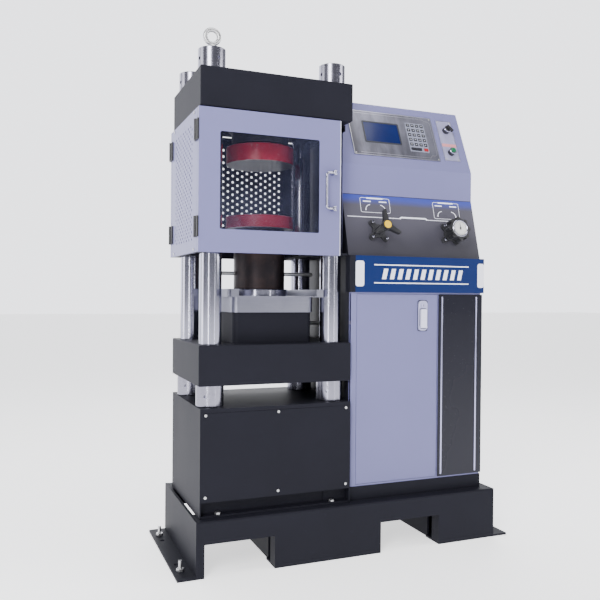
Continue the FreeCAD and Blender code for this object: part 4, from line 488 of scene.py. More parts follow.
LOOKS = {
    "charcoal paint": (textured_paint, "charcoal"),
    "grey paint": (smooth_paint, "grey"),
    # Painted light in the guard's grey: painted shade on the inside faces, and on the front door a
    # painted highlight along its right edge.
    "guard paint": (guard_paint_with_painted_light, "grey", "guard_inside"),
    "door paint": (guard_paint_with_painted_light, "grey", "grey", DOOR_HIGHLIGHT_EDGE),
    "cabinet paint": (cabinet_paint, "grey", "charcoal"),
    "blue paint": (smooth_paint, "blue", 0.38),
    "motor paint": (smooth_paint, (0.05, 0.09, 0.17), 0.4),
    "valve panel paint": (valve_panel_finish, (0.074, 0.071, 0.092), (0.045, 0.06, 0.30)),
    "white print": (smooth_paint, (0.84, 0.85, 0.97), 0.4),
    "key print": (smooth_paint, (0.62, 0.63, 0.68), 0.4),
    "label strip": (smooth_paint, (0.58, 0.24, 0.27), 0.4),
    "hard chrome": (chromed, (0.43, 0.43, 0.53), 0.10),
    "bright zinc": (brushed, (0.60, 0.60, 0.61), (300.0, 300.0, 300.0), 0.3),
    "turned steel": (brushed, (0.30, 0.295, 0.36), (40.0, 40.0, 900.0), 0.14),
    "stainless sheet": (brushed, (0.25, 0.252, 0.31), (14.0, 700.0, 700.0), 0.26),
    "dark ground steel": (brushed, (0.11, 0.11, 0.12), (60.0, 60.0, 300.0), 0.34),
    "ground block": (brushed, (0.42, 0.42, 0.44), (200.0, 30.0, 200.0), 0.3),
    "plate rim": (brushed, (0.60, 0.60, 0.68), (12.0, 300.0, 300.0), 0.22),
    "bright strip": (brushed, (0.42, 0.42, 0.62), (300.0, 300.0, 12.0), 0.25),
    "black steel": (blackened, (0.015, 0.012, 0.015), (0.034, 0.022, 0.022)),
    "platen steel and red": (platen_finish, "red"),
    "cast flange": (cast_metal, (0.035, 0.035, 0.04)),
    "lock metal": (smooth_paint, (0.40, 0.40, 0.60), 0.24),
    "lock lever metal": (smooth_paint, (0.66, 0.66, 0.84), 0.2),
    "console plate": (console_plate_finish,),
    "display": (screen_finish,),
    "clear acrylic": (clear_sheet,),
    "dark gloss": (gloss_panel, (0.006, 0.006, 0.012)),
    "display frame": (moulded, (0.02, 0.022, 0.03), 0.3),
    "keypad film": (moulded, (0.20, 0.21, 0.28), 0.35),
    "key black": (moulded, (0.014, 0.014, 0.020), 0.3),
    "red key": (moulded, (0.30, 0.012, 0.016), 0.3),
    "black plastic": (moulded, (0.012, 0.012, 0.014)),
    "green plastic": (moulded, (0.008, 0.13, 0.055), 0.25),
    "yellow plastic": (moulded, (0.72, 0.45, 0.02), 0.25),
    "dial white": (moulded, (0.66, 0.66, 0.65), 0.22),
    "dial ink": (moulded, (0.02, 0.02, 0.025), 0.4),
}
MATERIALS = {}


def finish(look):
    """The material of a look, made when it is first asked for."""
    if look not in MATERIALS:
        maker, *values = LOOKS[look]
        paints = bpy.context.scene.machine_paint
        values = [tuple(getattr(paints, v)) if isinstance(v, str) else v for v in values]
        MATERIALS[look] = maker(look, *values)
    return MATERIALS[look]


def wear(look, node):
    """Gives a look to a node of the frame as it is."""
    mesh = frame["nodes"][node].data
    mesh.materials.clear()
    mesh.materials.append(finish(look))
    for face in mesh.polygons:
        face.material_index = 0


def body_of(node):
    """The body that a node of the frame rides on."""
    for body, nodes in frame["record"]["behaviour"]["bodies"].items():
        if node in nodes:
            return body
    raise KeyError(node)


def slot_of(node):
    """The record's material slot of a node."""
    return next(row["material_slot"] for row in frame["record"]["subparts"] if row["node"] == node)


def refine(look, edge, nodes, smooth_angle=35.0):
    """Merged copies of nodes, smooth round curves, with a small radius on sharp edges."""
    for name in nodes.split():
        bm = bmesh.new()
        bm.from_mesh(frame["nodes"][name].data)
        bmesh.ops.remove_doubles(bm, verts=bm.verts, dist=2e-6)
        bmesh.ops.dissolve_limit(bm, angle_limit=math.radians(0.6), verts=bm.verts, edges=bm.edges)
        if edge:
            sharp = [e for e in bm.edges
                     if len(e.link_faces) == 2 and e.calc_face_angle(0.0) > SHARP]
            bmesh.ops.bevel(bm, geom=sharp, offset=edge * MM, segments=2, profile=0.5,
                            affect="EDGES", clamp_overlap=True)
        mesh = bpy.data.meshes.new(name)
        bm.to_mesh(mesh)
        bm.free()
        piece = settle("smooth_" + name, mesh, body_of(name), look, slot_of(name), smooth_angle)
        normals = piece.modifiers.new("normals", "WEIGHTED_NORMAL")
        normals.keep_sharp = True
        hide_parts(name)


def turn(name, node, look, *rounds, count=96):
    """Turned pieces that stand for a node: each round is a profile, a place and an axis."""
    def build(bm):
        for profile, origin, axis in rounds:
            add_turned(bm, profile, origin, axis, count)

    piece = trim(name, node, look, build, 30.0)
    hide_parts(node)


def trim(name, node, look, build, smooth_angle=None):
    """A piece that lies on a node and rides with it."""
    return settle(name, build, body_of(node), look, slot_of(node), smooth_angle)


# Mesh helpers

def settle(name, mesh, body, look, slot, smooth_angle=None):
    """Links a mesh, or what a function builds, dresses it and lets it ride on its body."""
    if callable(mesh):
        mesh = to_mesh(name, mesh)
    piece = bpy.data.objects.new(name, mesh)
    bpy.context.scene.collection.objects.link(piece)
    mesh.materials.clear()
    mesh.materials.append(finish(look))
    for face in mesh.polygons:
        face.material_index = 0
    if smooth_angle is not None:
        for face in mesh.polygons:
            face.use_smooth = True
        mesh.set_sharp_from_angle(angle=math.radians(smooth_angle))
    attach(piece, body)
    return piece


def to_mesh(name, build):
    """A mesh from a bmesh that the function fills, in metres."""
    bm = bmesh.new()
    build(bm)
    bmesh.ops.scale(bm, vec=(MM, MM, MM), verts=bm.verts)
    bmesh.ops.recalc_face_normals(bm, faces=bm.faces)
    mesh = bpy.data.meshes.new(name)
    bm.to_mesh(mesh)
    bm.free()
    return mesh


def add_box(bm, low, high, edge=0.0, steps=2):
    """A block between two corners, with its edges rounded."""
    made = bmesh.ops.create_cube(bm, size=1.0)["verts"]
    size = Vector(high) - Vector(low)
    middle = (Vector(high) + Vector(low)) / 2
    for v in made:
        v.co = Vector([v.co[i] * size[i] + middle[i] for i in range(3)])
    if edge:
        edges = list({e for v in made for e in v.link_edges})
        bmesh.ops.bevel(bm, geom=edges, offset=edge, segments=steps, profile=0.5,
                        affect="EDGES", clamp_overlap=True)


def add_rim(bm, low, high, across):
    """The four flanges of a folded sheet: at both ends of one axis, at its foot and its top."""
    for axis in (across, 2):
        for start in (low[axis], high[axis] - SHEET):
            near, far = list(low), list(high)
            near[axis], far[axis] = start, start + SHEET
            add_box(bm, near, far, 0.3)


def add_slab(bm, point, x0, x1, s0, s1, low, high, corner=0.0):
    """A thin plate on a slope, from a point function, with round corners."""
    square = [(x1, s1), (x0, s1), (x0, s0), (x1, s0)]
    outline = rounded_path(x0, x1, s0, s1, corner, 6) if corner else square
    add_outline(bm, point, outline, low, high)


def add_outline(bm, point, outline, low, high):
    """A closed plate with any outline, between two heights above the slope."""
    bottom = [bm.verts.new(point(x, s, low)) for x, s in outline]
    top = [bm.verts.new(point(x, s, high)) for x, s in outline]
    bm.faces.new(top)
    bm.faces.new(list(reversed(bottom)))
    for i in range(len(outline)):
        j = (i + 1) % len(outline)
        bm.faces.new((bottom[i], bottom[j], top[j], top[i]))


def add_stroke(bm, point, path, width, low, high, closed=False):
    """A printed line of even width along a path on a slope."""
    spots = [Vector(p) for p in path]
    rims = ([], [])
    last = len(spots) - 1
    for i, spot in enumerate(spots):
        before = spots[i - 1] if i or closed else spot
        after = spots[(i + 1) % len(spots)] if i < last or closed else spot
        a = (spot - before).normalized() if before != spot else (after - spot).normalized()
        b = (after - spot).normalized() if after != spot else a
        along = (a + b).normalized()
        reach = width / 2 / max(0.4, along.dot(a))
        across = Vector((-along.y, along.x)) * reach
        rims[0].append(spot + across)
        rims[1].append(spot - across)
    rows = [[bm.verts.new(point(q.x, q.y, h)) for q in rim] for rim in rims for h in (low, high)]
    ring = (rows[0], rows[1], rows[3], rows[2])
    for i in range(len(spots) if closed else last):
        j = (i + 1) % len(spots)
        for k in range(4):
            one, two = ring[k], ring[(k + 1) % 4]
            bm.faces.new((one[i], one[j], two[j], two[i]))
    if not closed:
        for i in (0, last):
            bm.faces.new([row[i] for row in ring])


def rounded_path(x0, x1, s0, s1, corner, steps=5):
    """The points of a rectangle with round corners."""
    path = []
    for cx, cs, start in ((x1 - corner, s1 - corner, 0), (x0 + corner, s1 - corner, 90),
                          (x0 + corner, s0 + corner, 180), (x1 - corner, s0 + corner, 270)):
        for i in range(steps + 1):
            a = math.radians(start + 90 * i / steps)
            path.append((cx + corner * math.cos(a), cs + corner * math.sin(a)))
    return path


def arc_path(x, s, radius, first, last, steps=16):
    """The points of an arc, its angles in degrees."""
    return [(x + radius * math.cos(math.radians(first + (last - first) * i / steps)),
             s + radius * math.sin(math.radians(first + (last - first) * i / steps)))
            for i in range(steps + 1)]


def add_turned(bm, profile, origin, axis, count=64):
    """A closed body of revolution from (radius, height) points along an axis."""
    axis = Vector(axis).normalized()
    side = axis.orthogonal().normalized()
    other = axis.cross(side)
    rings = []
    for radius, height in profile:
        centre = Vector(origin) + axis * height
        if radius < 1e-6:
            rings.append([bm.verts.new(centre)])
        else:
            rings.append([bm.verts.new(centre + side * (radius * math.cos(math.tau * i / count))
                                       + other * (radius * math.sin(math.tau * i / count)))
                          for i in range(count)])
    closed = len(rings[0]) > 1 and len(rings[-1]) > 1
    pairs = list(zip(rings, rings[1:])) + ([(rings[-1], rings[0])] if closed else [])
    for low, high in pairs:
        for i in range(count):
            j = (i + 1) % count
            if len(low) == 1 and len(high) == 1:
                continue
            if len(low) == 1:
                bm.faces.new((low[0], high[j], high[i]))
            elif len(high) == 1:
                bm.faces.new((low[i], low[j], high[0]))
            else:
                bm.faces.new((low[i], low[j], high[j], high[i]))


# Geometry Nodes

class Recipe:
    """A Geometry Nodes tree under construction, with named inputs."""

    def __init__(self, name, inputs):
        self.tree = bpy.data.node_groups.new(name, "GeometryNodeTree")
        face = self.tree.interface
        face.new_socket("Geometry", in_out="INPUT", socket_type="NodeSocketGeometry")
        self.keys = {}
        for label, kind in inputs.items():
            made = face.new_socket(label, in_out="INPUT", socket_type=kind)
            self.keys[label] = made.identifier
        face.new_socket("Geometry", in_out="OUTPUT", socket_type="NodeSocketGeometry")
        self.source = self.tree.nodes.new("NodeGroupInput")
        self.result = self.tree.nodes.new("NodeGroupOutput")

    def add(self, kind, settings=None, inputs=None):
        made = self.tree.nodes.new(kind)
        for name, value in (settings or {}).items():
            setattr(made, name, value)
        for name, value in (inputs or {}).items():
            socket = made.inputs[name]
            if isinstance(value, bpy.types.NodeSocket):
                self.tree.links.new(value, socket)
            else:
                socket.default_value = value
        return made

    def given(self, label):
        return self.source.outputs[label]

    def number(self, operation, first, second):
        made = self.add("ShaderNodeMath", {"operation": operation}, {0: first, 1: second})
        return made.outputs[0]

    def end(self, geometry, material_label="Material"):
        real = self.add("GeometryNodeRealizeInstances", None, {"Geometry": geometry})
        done = self.add("GeometryNodeSetMaterial", None, {"Geometry": real.outputs[0],
                                                          "Material": self.given(material_label)})
        self.tree.links.new(done.outputs[0], self.result.inputs[0])


def baked(recipe, values, base=None):
    """Runs a recipe on a mesh and returns the result as a plain mesh."""
    holder = bpy.data.objects.new("holder", base or bpy.data.meshes.new("holder"))
    bpy.context.scene.collection.objects.link(holder)
    modifier = holder.modifiers.new("recipe", "NODES")
    modifier.node_group = recipe.tree
    for label, value in values.items():
        modifier[recipe.keys[label]] = value
    holder.update_tag()
    bpy.context.view_layer.update()
    seen = holder.evaluated_get(bpy.context.evaluated_depsgraph_get())
    mesh = bpy.data.meshes.new_from_object(seen)
    holder.modifiers.clear()
    bpy.data.objects.remove(holder)
    return mesh


def perforated_recipe():
    """A flat sheet in the XZ plane with staggered round holes in its middle."""
    r = Recipe("Perforated sheet", {"Width": "NodeSocketFloat", "Height": "NodeSocketFloat",
                                    "Thickness": "NodeSocketFloat",
                                    "Field width": "NodeSocketFloat",
                                    "Field height": "NodeSocketFloat",
                                    "Pitch": "NodeSocketFloat", "Column step": "NodeSocketFloat",
                                    "Hole radius": "NodeSocketFloat", "Sides": "NodeSocketInt",
                                    "Material": "NodeSocketMaterial"})
    size = r.add("ShaderNodeCombineXYZ", None, {0: r.given("Width"), 1: r.given("Thickness"),
                                                2: r.given("Height")})
    sheet = r.add("GeometryNodeMeshCube", None, {"Size": size.outputs[0]})
    double = r.number("MULTIPLY", r.given("Column step"), 2.0)
    counts = []
    for field, pitch in ((r.given("Field width"), double),
                         (r.given("Field height"), r.given("Pitch"))):
        fitting = r.number("FLOOR", r.number("DIVIDE", field, pitch), 0.0)
        counts.append(r.number("ADD", fitting, 1.0))
    columns, rows = counts
    width = r.number("MULTIPLY", r.number("SUBTRACT", columns, 1.0), double)
    height = r.number("MULTIPLY", r.number("SUBTRACT", rows, 1.0), r.given("Pitch"))
    grids = []
    for share in (-0.25, 0.25):
        grid = r.add("GeometryNodeMeshGrid", None, {"Size X": width, "Size Y": height,
                                                    "Vertices X": columns, "Vertices Y": rows})
        shift = r.add("ShaderNodeCombineXYZ", None,
                      {0: r.number("MULTIPLY", double, share),
                       1: r.number("MULTIPLY", r.given("Pitch"), share)})
        grids.append(r.add("GeometryNodeTransform", None, {"Geometry": grid.outputs[0],
                                                           "Translation": shift.outputs[0]}))
    joined = r.add("GeometryNodeJoinGeometry")
    for grid in grids:
        r.tree.links.new(grid.outputs[0], joined.inputs[0])
    upright = r.add("GeometryNodeTransform", None, {"Geometry": joined.outputs[0],
                                                    "Rotation": (math.pi / 2, 0.0, 0.0)})
    punch = r.add("GeometryNodeMeshCylinder", None, {"Vertices": r.given("Sides"),
                                                     "Radius": r.given("Hole radius"),
                                                     "Depth": 0.02})
    punches = r.add("GeometryNodeInstanceOnPoints", None, {"Points": upright.outputs[0],
                                                           "Instance": punch.outputs[0],
                                                           "Rotation": (math.pi / 2, 0.0, 0.0)})
    solid = r.add("GeometryNodeRealizeInstances", None, {"Geometry": punches.outputs[0]})
    holes = r.add("GeometryNodeMeshBoolean", {"operation": "DIFFERENCE", "solver": "MANIFOLD"},
                  {"Mesh 1": sheet.outputs[0], "Mesh 2": solid.outputs[0]})
    r.end(holes.outputs[0])
    return r


def scatter_recipe():
    """Copies of the incoming mesh on a list of places that a point mesh carries."""
    r = Recipe("Screws in place", {"Places": "NodeSocketObject", "Material": "NodeSocketMaterial"})
    info = r.add("GeometryNodeObjectInfo", {"transform_space": "ORIGINAL"},
                 {"Object": r.given("Places")})
    turn = r.add("GeometryNodeInputNamedAttribute", {"data_type": "FLOAT_VECTOR"},
                 {"Name": "facing"})
    copies = r.add("GeometryNodeInstanceOnPoints", None,
                   {"Points": info.outputs["Geometry"], "Instance": r.source.outputs["Geometry"],
                    "Rotation": turn.outputs[0]})
    r.end(copies.outputs[0])
    return r


def scatter(mesh, places, look):
    """One mesh with a copy of the given one at each (point in mm, direction) place."""
    dots = bpy.data.meshes.new("dots")
    dots.from_pydata([tuple(Vector(p) * MM) for p, d in places], [], [])
    facing = dots.attributes.new("facing", "FLOAT_VECTOR", "POINT")
    for i, (p, d) in enumerate(places):
        facing.data[i].vector = Vector(d).to_track_quat("Z", "Y").to_euler()
    holder = bpy.data.objects.new("dots", dots)
    bpy.context.scene.collection.objects.link(holder)
    result = baked(scatter_recipe(), {"Places": holder, "Material": finish(look)}, mesh)
    bpy.data.objects.remove(holder)
    return result


# Operators

class MACHINE_OT_stage(bpy.types.Operator):
    """Lays the floor, hangs the lights and sets the camera at the photograph's angle"""
    bl_idname = "machine.stage"
    bl_label = "Stage"

    def execute(self, context):
        s = context.scene.machine_stage
        camera = bpy.data.objects.new("camera", bpy.data.cameras.new("camera"))
        context.scene.collection.objects.link(camera)
        camera.data.sensor_width, camera.data.lens = 36.0, s.lens
        camera.data.clip_end = 50.0
        ahead = Vector((math.sin(s.yaw) * math.cos(s.pitch), math.cos(s.yaw) * math.cos(s.pitch),
                        math.sin(s.pitch)))
        right = Vector((math.cos(s.yaw), -math.sin(s.yaw), 0.0))
        up = right.cross(ahead)
        turned_right = right * math.cos(s.roll) + up * math.sin(s.roll)
        turned_up = up * math.cos(s.roll) - right * math.sin(s.roll)
        basis = Matrix((turned_right, turned_up, -ahead)).transposed().to_4x4()
        camera.matrix_world = Matrix.Translation(Vector(s.eye)) @ basis
        context.scene.camera = camera

        mesh = bpy.data.meshes.new("floor")
        mesh.from_pydata([(-30, -30, 0), (30, -30, 0), (30, 30, 0), (-30, 30, 0)], [],
                         [(0, 1, 2, 3)])
        floor = bpy.data.objects.new("floor", mesh)
        context.scene.collection.objects.link(floor)
        f = Finish("floor paint")
        cloud = f.noise(1.2, 3.0)
        mesh.materials.append(f.done(f.mix(cloud, shade(s.floor, 0.985), tuple(s.floor)), 0.6,
                                     Emission_Color=(*s.floor, 1.0), Emission_Strength=FLOOR_GLOW))

        world = bpy.data.worlds.new("studio")
        world.use_nodes = True
        context.scene.world = world
        sky = Term(world.node_tree)
        way = sky.node("ShaderNodeTexCoord", output="Generated")
        back = sky.node("ShaderNodeSeparateXYZ", None, {"Vector": way}, output=1)
        seen = sky.node("ShaderNodeLightPath", output="Is Camera Ray")
        glow = back.smooth(0.30, 0.78) * s.back_light + s.front_light
        glow = glow * (1.0 - seen) + seen * s.backdrop
        ground = world.node_tree.nodes["Background"]
        ground.inputs["Color"].default_value = (0.94, 0.95, 1.0, 1.0)
        world.node_tree.links.new(glow.socket, ground.inputs["Strength"])

        for name, place, aim, size, power in (
                ("key", (-2.9, -3.4, 3.3), (-0.2, 0, 1.0), (1.8, 2.2), 210.0),
                ("fill", (4.0, -1.9, 2.3), (0.1, 0, 0.9), (2.2, 2.0), 100.0),
                ("side", (-3.8, 0.6, 1.8), (-0.6, 0, 1.0), (1.4, 2.6), 45.0),
                ("top", (0.2, -1.0, 4.4), (0.0, -0.1, 1.0), (2.6, 1.8), 75.0),
                ("left strip", (-2.3, -2.9, 1.3), (-0.3, -0.1, 1.1), (0.16, 2.8), 26.0),
                ("right strip", (1.4, -3.4, 1.3), (-0.2, -0.1, 1.1), (0.10, 2.8), 8.0),
                ("rim", (1.2, 3.6, 3.0), (0.0, 0, 1.3), (2.6, 1.4), 40.0)):
            light = bpy.data.objects.new(name, bpy.data.lights.new(name, "AREA"))
            light.data.shape = "RECTANGLE"
            light.data.size, light.data.size_y = size
            light.data.energy = power
            context.scene.collection.objects.link(light)
            light.location = place
            light.rotation_euler = (Vector(aim) - Vector(place)).to_track_quat("-Z", "Y").to_euler()
        return {"FINISHED"}


class MACHINE_OT_frame_finish(bpy.types.Operator):
    """Dresses the load frame, pedestal and base in their paint and steel"""
    bl_idname = "machine.frame_finish"
    bl_label = "Load frame and base"

    def execute(self, context):
        refine("charcoal paint", 0.8, "base_front_beam base_rear_beam base_left_end_plate "
               "base_right_end_plate pedestal_frame pedestal_shell pedestal_front_panel "
               "guard_brackets")
        refine("charcoal paint", 0.0, "lower_crosshead upper_crosshead cylinder_block")
        wear("charcoal paint", "base_cross_members")
        refine("bright zinc", 0.4, "levelling_screws hold_down_bolts panel_screws feed_pipe "
               "spacer_handles")
        refine("turned steel", 0.5, "column_nuts")
        refine("stainless sheet", 0.6, "dust_tray")
        refine("dark ground steel", 0.6, "ball_seat retaining_ring")
        return {"FINISHED"}


class MACHINE_OT_round_steel(bpy.types.Operator):
    """Turns the columns, the lifting eye, the piston, the spacer and the platens"""
    bl_idname = "machine.round_steel"
    bl_label = "Round steel"

    def execute(self, context):
        up = (0, 0, 1)
        middle = (FRAME_X, FRAME_Y, 0)
        foot, top = PEDESTAL_TOP + 0.3, COLUMN_TOP
        column = [(0, foot - 14.3), (30, foot - 14.3), (30, foot), (39.2, foot), (40, foot + 0.8),
                  (40, top - 1.6), (38.4, top), (11.1, top), (11.1, top - 38), (0, top - 38)]
        turn("turned_columns", "columns", "hard chrome",
             *[(column, (x, y, 0), up) for x, y in COLUMN_PLACES])
        x, y = COLUMN_PLACES[0]
        loop = [(25 + 8 * math.cos(math.tau * i / 24), 8 * math.sin(math.tau * i / 24))
                for i in range(24)]
        shank = [(0, top - 34), (11, top - 34), (11, top), (18, top), (18, top + 4),
                 (14.5, top + 9), (12, top + 18), (0, top + 18)]
        turn("lifting_eye", "eye_bolt", "bright zinc", (loop, (x, y, top + 47), (0, 1, 0)),
             (shank, (x, y, 0), up), count=72)
        z = PISTON_TOP
        piston = [(0, z - 160), (107, z - 160), (110, z - 157), (110, z - 3), (107, z), (25, z),
                  (25, z - 8), (0, z - 8)]
        turn("turned_piston", "piston", "hard chrome", (piston, middle, up))
        spigot = [(0, z - 7.7), (24.9, z - 7.7), (24.9, z)]
        turn("turned_spacer", "spacer_block", "black steel",
             (spigot + [(96.5, z), (98, z + 1.5), (98, SPACER_TOP - 1.5), (96.5, SPACER_TOP),
                        (25, SPACER_TOP), (25, SPACER_TOP - 8), (0, SPACER_TOP - 8)], middle, up))
        z = SPACER_TOP
        spigot = [(0, z - 7.7), (24.9, z - 7.7), (24.9, z)]
        turn("turned_lower_platen", "lower_platen", "platen steel and red",
             (spigot + [(128.5, z), (130, z + 1.5), (130, LOWER_FACE - 1.5), (128.5, LOWER_FACE),
                        (0, LOWER_FACE)], middle, up))
        z = UPPER_FACE
        ball = [(math.sqrt(115.0 ** 2 - h * h), z + h) for h in (86, 90, 94, 98, 102, 105, 108)]
        turn("turned_upper_platen", "upper_platen", "platen steel and red",
             ([(0, z), (128.5, z), (130, z + 1.5), (130, z + 64.5), (128.5, z + 66), (66, z + 66),
               (66, z + 86), *ball, (0, z + 108)], middle, up))
        return {"FINISHED"}


class MACHINE_OT_guard_finish(bpy.types.Operator):
    """Dresses the service door and the guard's sheet, door, hinges, window and handle"""
    bl_idname = "machine.guard_finish"
    bl_label = "Guard"

    def execute(self, context):
        refine("grey paint", 0.7, "cabinet_door")
        refine("guard paint", 0.7, "guard_right_panel")
        refine("door paint", 0.9, "front_door_frame")
        refine("black plastic", 0.6, "guard_hinge_leaves front_door_hinge_leaves "
               "rear_door_hinge_leaves")
        wear("clear acrylic", "front_door_window")
        refine("hard chrome", 0.5, "handle_mounts handle_bail")
        return {"FINISHED"}


class MACHINE_OT_cabinet_finish(bpy.types.Operator):
    """Dresses the cabinet, its console and its valves"""
    bl_idname = "machine.cabinet_finish"
    bl_label = "Cabinet"

    def execute(self, context):
        wear("charcoal paint", "oil_tank")
        refine("charcoal paint", 0.6, "cabinet_plinth")
        refine("cabinet paint", 0.0, "cabinet_shell", 12.0)
        refine("dark gloss", 0.4, "dark_panel")
        refine("blue paint", 0.6, "band_box")
        refine("valve panel paint", 0.5, "valve_panel")
        refine("console plate", 0.4, "console_plates")
        wear("display", "lcd_display")
        refine("black plastic", 2.0, "left_valve_handle")
        refine("black plastic", 1.2, "right_valve_knob")
        refine("black plastic", 0.6, "selector_lever")
        refine("green plastic", 0.0, "push_button")
        refine("cast flange", 0.8, "valve_flanges")
        refine("yellow plastic", 0.0, "left_handle_cap")
        refine("lock metal", 0.6, "lock_body")
        refine("lock lever metal", 2.0, "lock_handle")
        wear("cast flange", "pump_housing")
        wear("motor paint", "pump_motor")
        wear("ground block", "valve_manifold")
        return {"FINISHED"}


class MACHINE_OT_perforated_guard(bpy.types.Operator):
    """Makes the perforated left panel and rear door with round holes"""
    bl_idname = "machine.perforated_guard"
    bl_label = "Perforated guard"

    def execute(self, context):
        s = context.scene.machine_perforation
        recipe = perforated_recipe()
        # The panels' inner faces take the painted shade of the guard's grey.
        common = {"Thickness": SHEET * MM, "Pitch": s.pitch, "Column step": s.step,
                  "Hole radius": s.radius, "Sides": s.sides, "Material": finish("guard paint"),
                  "Height": (GUARD_Z1 - GUARD_Z0) * MM, "Field height": 0.392}
        middle_z = (GUARD_Z1 + GUARD_Z0) / 2 * MM
        side = baked(recipe, {**common, "Width": (SIDE_Y1 - SIDE_Y0) * MM, "Field width": 0.262})
        side.transform(Matrix.Translation(((GUARD_X0 + SHEET / 2) * MM,
                                           (SIDE_Y0 + SIDE_Y1) / 2 * MM, middle_z))
                       @ Matrix.Rotation(math.pi / 2, 4, "Z"))
        back = baked(recipe, {**common, "Width": DOOR_W * MM, "Field width": 0.37})
        back.transform(Matrix.Translation(((GUARD_X0 + DOOR_W / 2) * MM,
                                           (GUARD_REAR - SHEET / 2) * MM, middle_z)))
        for name, node, sheet, low, high, across in (
                ("perforated_side_panel", "guard_left_panel", side,
                 (GUARD_X0 + SHEET, SIDE_Y0, GUARD_Z0), (GUARD_X0 + 18.0, SIDE_Y1, GUARD_Z1), 1),
                ("perforated_rear_door", "rear_door", back,
                 (GUARD_X0, GUARD_REAR - DOOR_RETURN, GUARD_Z0),
                 (GUARD_X0 + DOOR_W, GUARD_REAR - SHEET, GUARD_Z1), 0)):
            rim = to_mesh("rim", lambda bm: add_rim(bm, low, high, across))
            panel = settle(name, merged(sheet, rim), body_of(node), "guard paint", "grey_paint")
            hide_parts(node)
        return {"FINISHED"}


def merged(*meshes):
    """One mesh out of several."""
    bm = bmesh.new()
    for mesh in meshes:
        bm.from_mesh(mesh)
    result = bpy.data.meshes.new(meshes[0].name)
    bm.to_mesh(result)
    bm.free()
    return result


class MACHINE_OT_band_print(bpy.types.Operator):
    """Prints the band's lines, bars and tabs and fits its dark return"""
    bl_idname = "machine.band_print"
    bl_label = "Band print"

    def execute(self, context):
        def lines(bm):
            for z in (1087.0, 1018.0):
                add_slab(bm, on_band, 83, 511, z - 2, z + 2, 0, 0.25)
            for x0, x1 in ((4.3, 40), (554, 585.7)):
                add_slab(bm, on_band, x0, x1, 1004, 1101, 0, 0.25, 9)

        def bar(bm):
            add_outline(bm, lambda x, s, out: Vector((x, s, out)),
                        [(4.5, -20), (13.5, 20), (-4.5, 20), (-13.5, -20)], 0, 0.25)

        places = [((x, BAND_FRONT, 1052.5), (0, -1, 0)) for x in range(130, 480, 34)]
        bars = scatter(to_mesh("bar", bar), places, "white print")
        settle("band_print", merged(bars, to_mesh("lines", lines)), "machine", "white print",
               "lock_metal")
        trim("band_return", "cabinet_plinth", "charcoal paint",
             lambda bm: add_box(bm, (-20.4, -226.4, 981.8), (4, -190, 1121.2), 0.6))
        return {"FINISHED"}


class MACHINE_OT_valve_print(bpy.types.Operator):
    """Prints the valve panel's line and turning signs and fits its seam and flange bolts"""
    bl_idname = "machine.valve_print"
    bl_label = "Valve panel print"

    def execute(self, context):
        def signs(bm):
            add_slab(bm, on_valves, -2, 230, 157.6, 160.2, 0, 0.25)
            add_slab(bm, on_valves, 352, 463, 157.6, 160.2, 0, 0.25)
            add_stroke(bm, on_valves, [(228, 159), (236, 164), (346, 164), (354, 159)], 6, 0, 0.3)
            for x0, x1, s0, s1 in ((60, 189, 179, 239), (390, 513, 168, 238)):
                add_stroke(bm, on_valves, rounded_path(x0, x1, s0, s1, 7), 1.6, 0, 0.25, True)
                middle = (x0 + x1) / 2
                add_slab(bm, on_valves, middle - 36, middle + 36, s1 - 4, s1 + 2, 0, 0.3)
                for side in (-1, 1):
                    inner, outer = sorted((middle + side * 18, middle + side * 52))
                    add_slab(bm, on_valves, inner, outer, s1 - 17, s1 - 12, 0, 0.25)
                    path = arc_path(middle + side * 21, s0 + 10, 22, 90 - side * 4, 90 - side * 82)
                    add_stroke(bm, on_valves, path, 3.0, 0, 0.25)
                    tip = Vector(path[-1])
                    heading = (tip - Vector(path[-2])).normalized()
                    wide = Vector((-heading.y, heading.x)) * 4
                    add_outline(bm, on_valves, [tuple(tip + wide), tuple(tip - wide),
                                                tuple(tip + heading * 6)], 0, 0.25)

        settle("valve_panel_seam",
               lambda bm: add_slab(bm, on_valves, -12, 578, 249.8, 252.2, 0, 0.3), "machine",
               "black plastic", "black_plastic")
        bolts = [(on_valves(x + 42 * math.cos(a), VALVE_S + 42 * math.sin(a), 18.0), VALVE_OUT)
                 for x in (LEFT_VALVE, RIGHT_VALVE) for a in map(math.radians, (130, 220, 310))]
        settle("flange_bolt_tops", scatter(pan_screw(5.0, 3.0), bolts, "hard chrome"), "machine",
               "hard chrome", "chrome", 30.0)
        settle("valve_panel_print", signs, "machine", "white print", "lock_metal")
        return {"FINISHED"}


